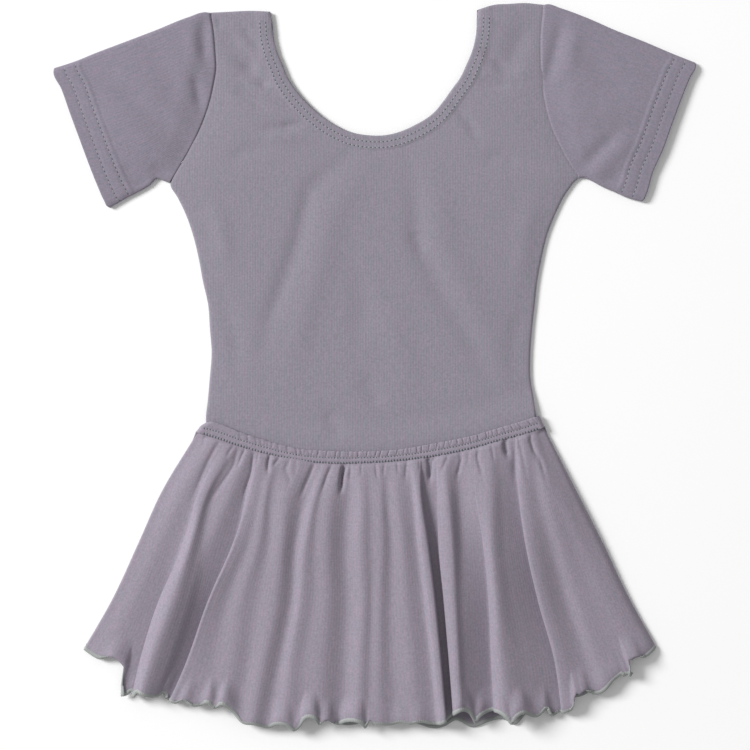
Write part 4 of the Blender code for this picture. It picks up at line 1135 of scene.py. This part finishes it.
def add_node(tree, kind, inputs=(), **settings):
    """Add a node; inputs maps its sockets to plain values or to other nodes' outputs."""
    made = tree.nodes.new(kind)
    for name, value in settings.items():
        setattr(made, name, value)
    for socket, value in dict(inputs).items():
        if isinstance(value, bpy.types.NodeSocket):
            tree.links.new(value, made.inputs[socket])
        else:
            made.inputs[socket].default_value = value
    return made


print("the jersey's colour in linear terms is", [round(v, 3) for v in linear("#8e8894")])

# %% [markdown]
# The cloth is cotton-elastane single jersey, piece-dyed and soft. Its face shows fine vertical
# wales, about 0.7 mm apart on the real one. They are drawn 1.5 mm apart, because closer ones
# would vanish in the picture. The dye takes unevenly, warm in one wale and cool in the next, in
# short streaks. The fibre ends give fine specks and a faint sheen at grazing angles.

# %% Jersey
WALE = 1.5              # mm between wales, drawn twice as coarse so that they show
STREAK = (0.9, 9.0)     # mm that one streak of dye measures across and along the wales
WAVE_AT_ONE = math.tau / 20     # period of a wave texture of scale 1, in its own units


def jersey(name, warm, cool, wale_depth=0.07):
    """Single jersey in one piece-dyed colour with a warm and a cool cast."""
    finish = bpy.data.materials.new(name)
    finish.use_nodes = True
    tree = finish.node_tree
    shader = tree.nodes["Principled BSDF"]
    shader.inputs["Roughness"].default_value = 0.88
    shader.inputs["Sheen Weight"].default_value = 0.12
    shader.inputs["Sheen Roughness"].default_value = 0.5
    shader.inputs["Specular IOR Level"].default_value = 0.25
    place = add_node(tree, "ShaderNodeTexCoord")
    cloth_map = add_node(tree, "ShaderNodeUVMap", uv_map="cloth")
    stretched = add_node(tree, "ShaderNodeMapping", {"Vector": cloth_map.outputs["UV"]})
    stretched.inputs["Scale"].default_value = (1 / (STREAK[0] * MM), 1 / (STREAK[1] * MM), 1.0)
    streaks = add_node(tree, "ShaderNodeTexNoise", {
        "Vector": stretched.outputs["Vector"], "Scale": 1.0, "Detail": 2.0, "Roughness": 0.6})
    spread = add_node(tree, "ShaderNodeMapRange", {
        "Value": streaks.outputs["Fac"], "From Min": 0.36, "From Max": 0.64})
    fleck = add_node(tree, "ShaderNodeTexNoise", {
        "Vector": place.outputs["Object"], "Scale": 1 / (1.1 * MM), "Detail": 2.0, "Roughness": 0.7})
    tone = add_node(tree, "ShaderNodeMix", {
        0: spread.outputs["Result"], 6: linear(warm), 7: linear(cool)}, data_type="RGBA")
    speck = add_node(tree, "ShaderNodeMapRange", {
        "Value": fleck.outputs["Fac"], "From Min": 0.3, "From Max": 0.7, "To Min": 0.88, "To Max": 1.12})
    shaded = add_node(tree, "ShaderNodeVectorMath", {0: tone.outputs[2]}, operation="SCALE")
    tree.links.new(speck.outputs["Result"], shaded.inputs["Scale"])
    tree.links.new(shaded.outputs["Vector"], shader.inputs["Base Color"])
    wales = add_node(tree, "ShaderNodeTexWave", {
        "Vector": cloth_map.outputs["UV"], "Scale": WAVE_AT_ONE / (WALE * MM), "Distortion": 0.8,
        "Detail": 1.0, "Detail Scale": 2.0}, bands_direction="X")
    relief = add_node(tree, "ShaderNodeMath", {0: wales.outputs["Fac"], 1: fleck.outputs["Fac"]}, operation="ADD")
    bump = add_node(tree, "ShaderNodeBump", {
        "Height": relief.outputs["Value"], "Strength": 0.6, "Distance": wale_depth * MM})
    tree.links.new(bump.outputs["Normal"], shader.inputs["Normal"])
    return finish


body_jersey = jersey("body_single_jersey", "#938997", "#898892", 0.05)
sleeve_jersey = jersey("sleeve_single_jersey", "#8f8493", "#85828f", 0.05)
skirt_jersey = jersey("skirt_single_jersey", "#988c9a", "#8e8a96", 0.03)
print("three jerseys, all from one dye lot, in slightly unlike tones")

# %% [markdown]
# The thread is spun polyester, a grey-green that doesn't quite match the dye. It is a little
# lighter and glossier than the jersey.

# %% Sewing thread
def sewing_thread(name, colour, shade):
    """Spun polyester thread with fine plies across it."""
    finish = bpy.data.materials.new(name)
    finish.use_nodes = True
    tree = finish.node_tree
    shader = tree.nodes["Principled BSDF"]
    shader.inputs["Roughness"].default_value = 0.6
    place = add_node(tree, "ShaderNodeTexCoord")
    plies = add_node(tree, "ShaderNodeTexNoise", {
        "Vector": place.outputs["Object"], "Scale": 1 / (0.5 * MM), "Detail": 2.0})
    tone = add_node(tree, "ShaderNodeMix", {}, data_type="RGBA")
    tree.links.new(plies.outputs["Fac"], tone.inputs[0])
    tone.inputs[6].default_value = linear(shade)
    tone.inputs[7].default_value = linear(colour)
    tree.links.new(tone.outputs[2], shader.inputs["Base Color"])
    bump = add_node(tree, "ShaderNodeBump", {
        "Height": plies.outputs["Fac"], "Strength": 0.5, "Distance": 0.1 * MM})
    tree.links.new(bump.outputs["Normal"], shader.inputs["Normal"])
    return finish


hem_thread = sewing_thread("overlock_polyester_thread", "#a6a9a7", "#888c8c")
seam_thread = sewing_thread("coverstitch_polyester_thread", "#a9aeae", "#8f9396")
# This dark finish is painted shade: it colours the rods that stand for the shadow in the needle pits.
pit_shade = sewing_thread("painted_needle_pit_shade", "#525761", "#454a54")
print("two threads, and the shade of the needle's pits")

# %% [markdown]
# Each piece gets its finish, rides on the one body, and stands for its
# plain solid.

# %% Dress the model
def dress(piece, finish, slot, *nodes):
    """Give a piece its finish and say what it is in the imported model."""
    piece.data.materials.clear()
    piece.data.materials.append(finish)
    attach(piece, "root")
    if nodes:
        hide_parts(*nodes)


dress(front_panel, body_jersey, "body_jersey", "front_panel")
dress(back_panel, body_jersey, "body_jersey", "back_panel")
dress(left_sleeve, sleeve_jersey, "sleeve_jersey", "sleeve_left")
dress(right_sleeve, sleeve_jersey, "sleeve_jersey", "sleeve_right")
dress(casing, skirt_jersey, "skirt_jersey", "skirt_casing")
dress(skirt_front, skirt_jersey, "skirt_jersey", "skirt_front")
dress(skirt_back, skirt_jersey, "skirt_jersey", "skirt_back")
for thread in (front_thread, back_thread):
    dress(thread, hem_thread, "skirt_jersey")
for thread in (neck_stitches, left_stitches, right_stitches, waist_stitches):
    dress(thread, seam_thread, "body_jersey")
# The rods of painted pit shadow take the dark painted shade finish.
for pit_shade_mark in (neck_pit_painted_shade, left_pit_painted_shade, right_pit_painted_shade, waist_pit_painted_shade):
    dress(pit_shade_mark, pit_shade, "body_jersey")

# %% [markdown]

# %% [markdown]
# The studio: a wide, nearly white floor, a long lens straight above the garment, one large soft
# lamp from the upper left, and an even pale world that fills the shadows.

# %% Floor, camera and light
VIEW_WIDTH = 427.5      # mm that the picture shows
LENS, SENSOR = 100.0, 36.0
bpy.ops.object.select_all(action="DESELECT")
bpy.ops.mesh.primitive_plane_add(size=6)
floor = bpy.context.object
floor.name = "studio_floor"
paper = bpy.data.materials.new("white_paper")
paper.use_nodes = True
paper_tree = paper.node_tree
grain = add_node(paper_tree, "ShaderNodeTexNoise", {"Scale": 60.0})
paper_tone = add_node(paper_tree, "ShaderNodeMix", {}, data_type="RGBA")
paper_tree.links.new(grain.outputs["Fac"], paper_tone.inputs[0])
paper_tone.inputs[6].default_value = linear("#fefefe")
paper_tone.inputs[7].default_value = linear("#ffffff")
paper_tree.links.new(paper_tone.outputs[2], paper_tree.nodes["Principled BSDF"].inputs["Base Color"])
paper_tree.nodes["Principled BSDF"].inputs["Roughness"].default_value = 0.95
floor.data.materials.append(paper)

camera_data = bpy.data.cameras.new("camera")
camera_data.lens, camera_data.sensor_width = LENS, SENSOR
camera = bpy.data.objects.new("camera", camera_data)
bpy.context.collection.objects.link(camera)
camera.location = (0.3 * MM, -5.1 * MM, (VIEW_WIDTH * LENS / SENSOR + 3.0) * MM)
bpy.context.scene.camera = camera

KEY_DIRECTION = Vector((-0.76, 0.34, 0.53)).normalized()     # towards the lamp, at the upper left
KEY_DISTANCE = 6.0
key_data = bpy.data.lights.new("key", "AREA")
key_data.shape, key_data.size, key_data.energy = "DISK", 2.2, 402.0
key = bpy.data.objects.new("key", key_data)
bpy.context.collection.objects.link(key)
key.location = KEY_DIRECTION * KEY_DISTANCE
key.rotation_euler = KEY_DIRECTION.to_track_quat("Z", "Y").to_euler()

world = bpy.context.scene.world or bpy.data.worlds.new("world")
bpy.context.scene.world = world
world.use_nodes = True
background = world.node_tree.nodes["Background"]
background.inputs["Color"].default_value = (1.0, 1.0, 1.0, 1.0)
background.inputs["Strength"].default_value = 0.42
bpy.context.scene.view_settings.view_transform = "Standard"
print("camera", round(camera.location.z, 3), "m above the floor")
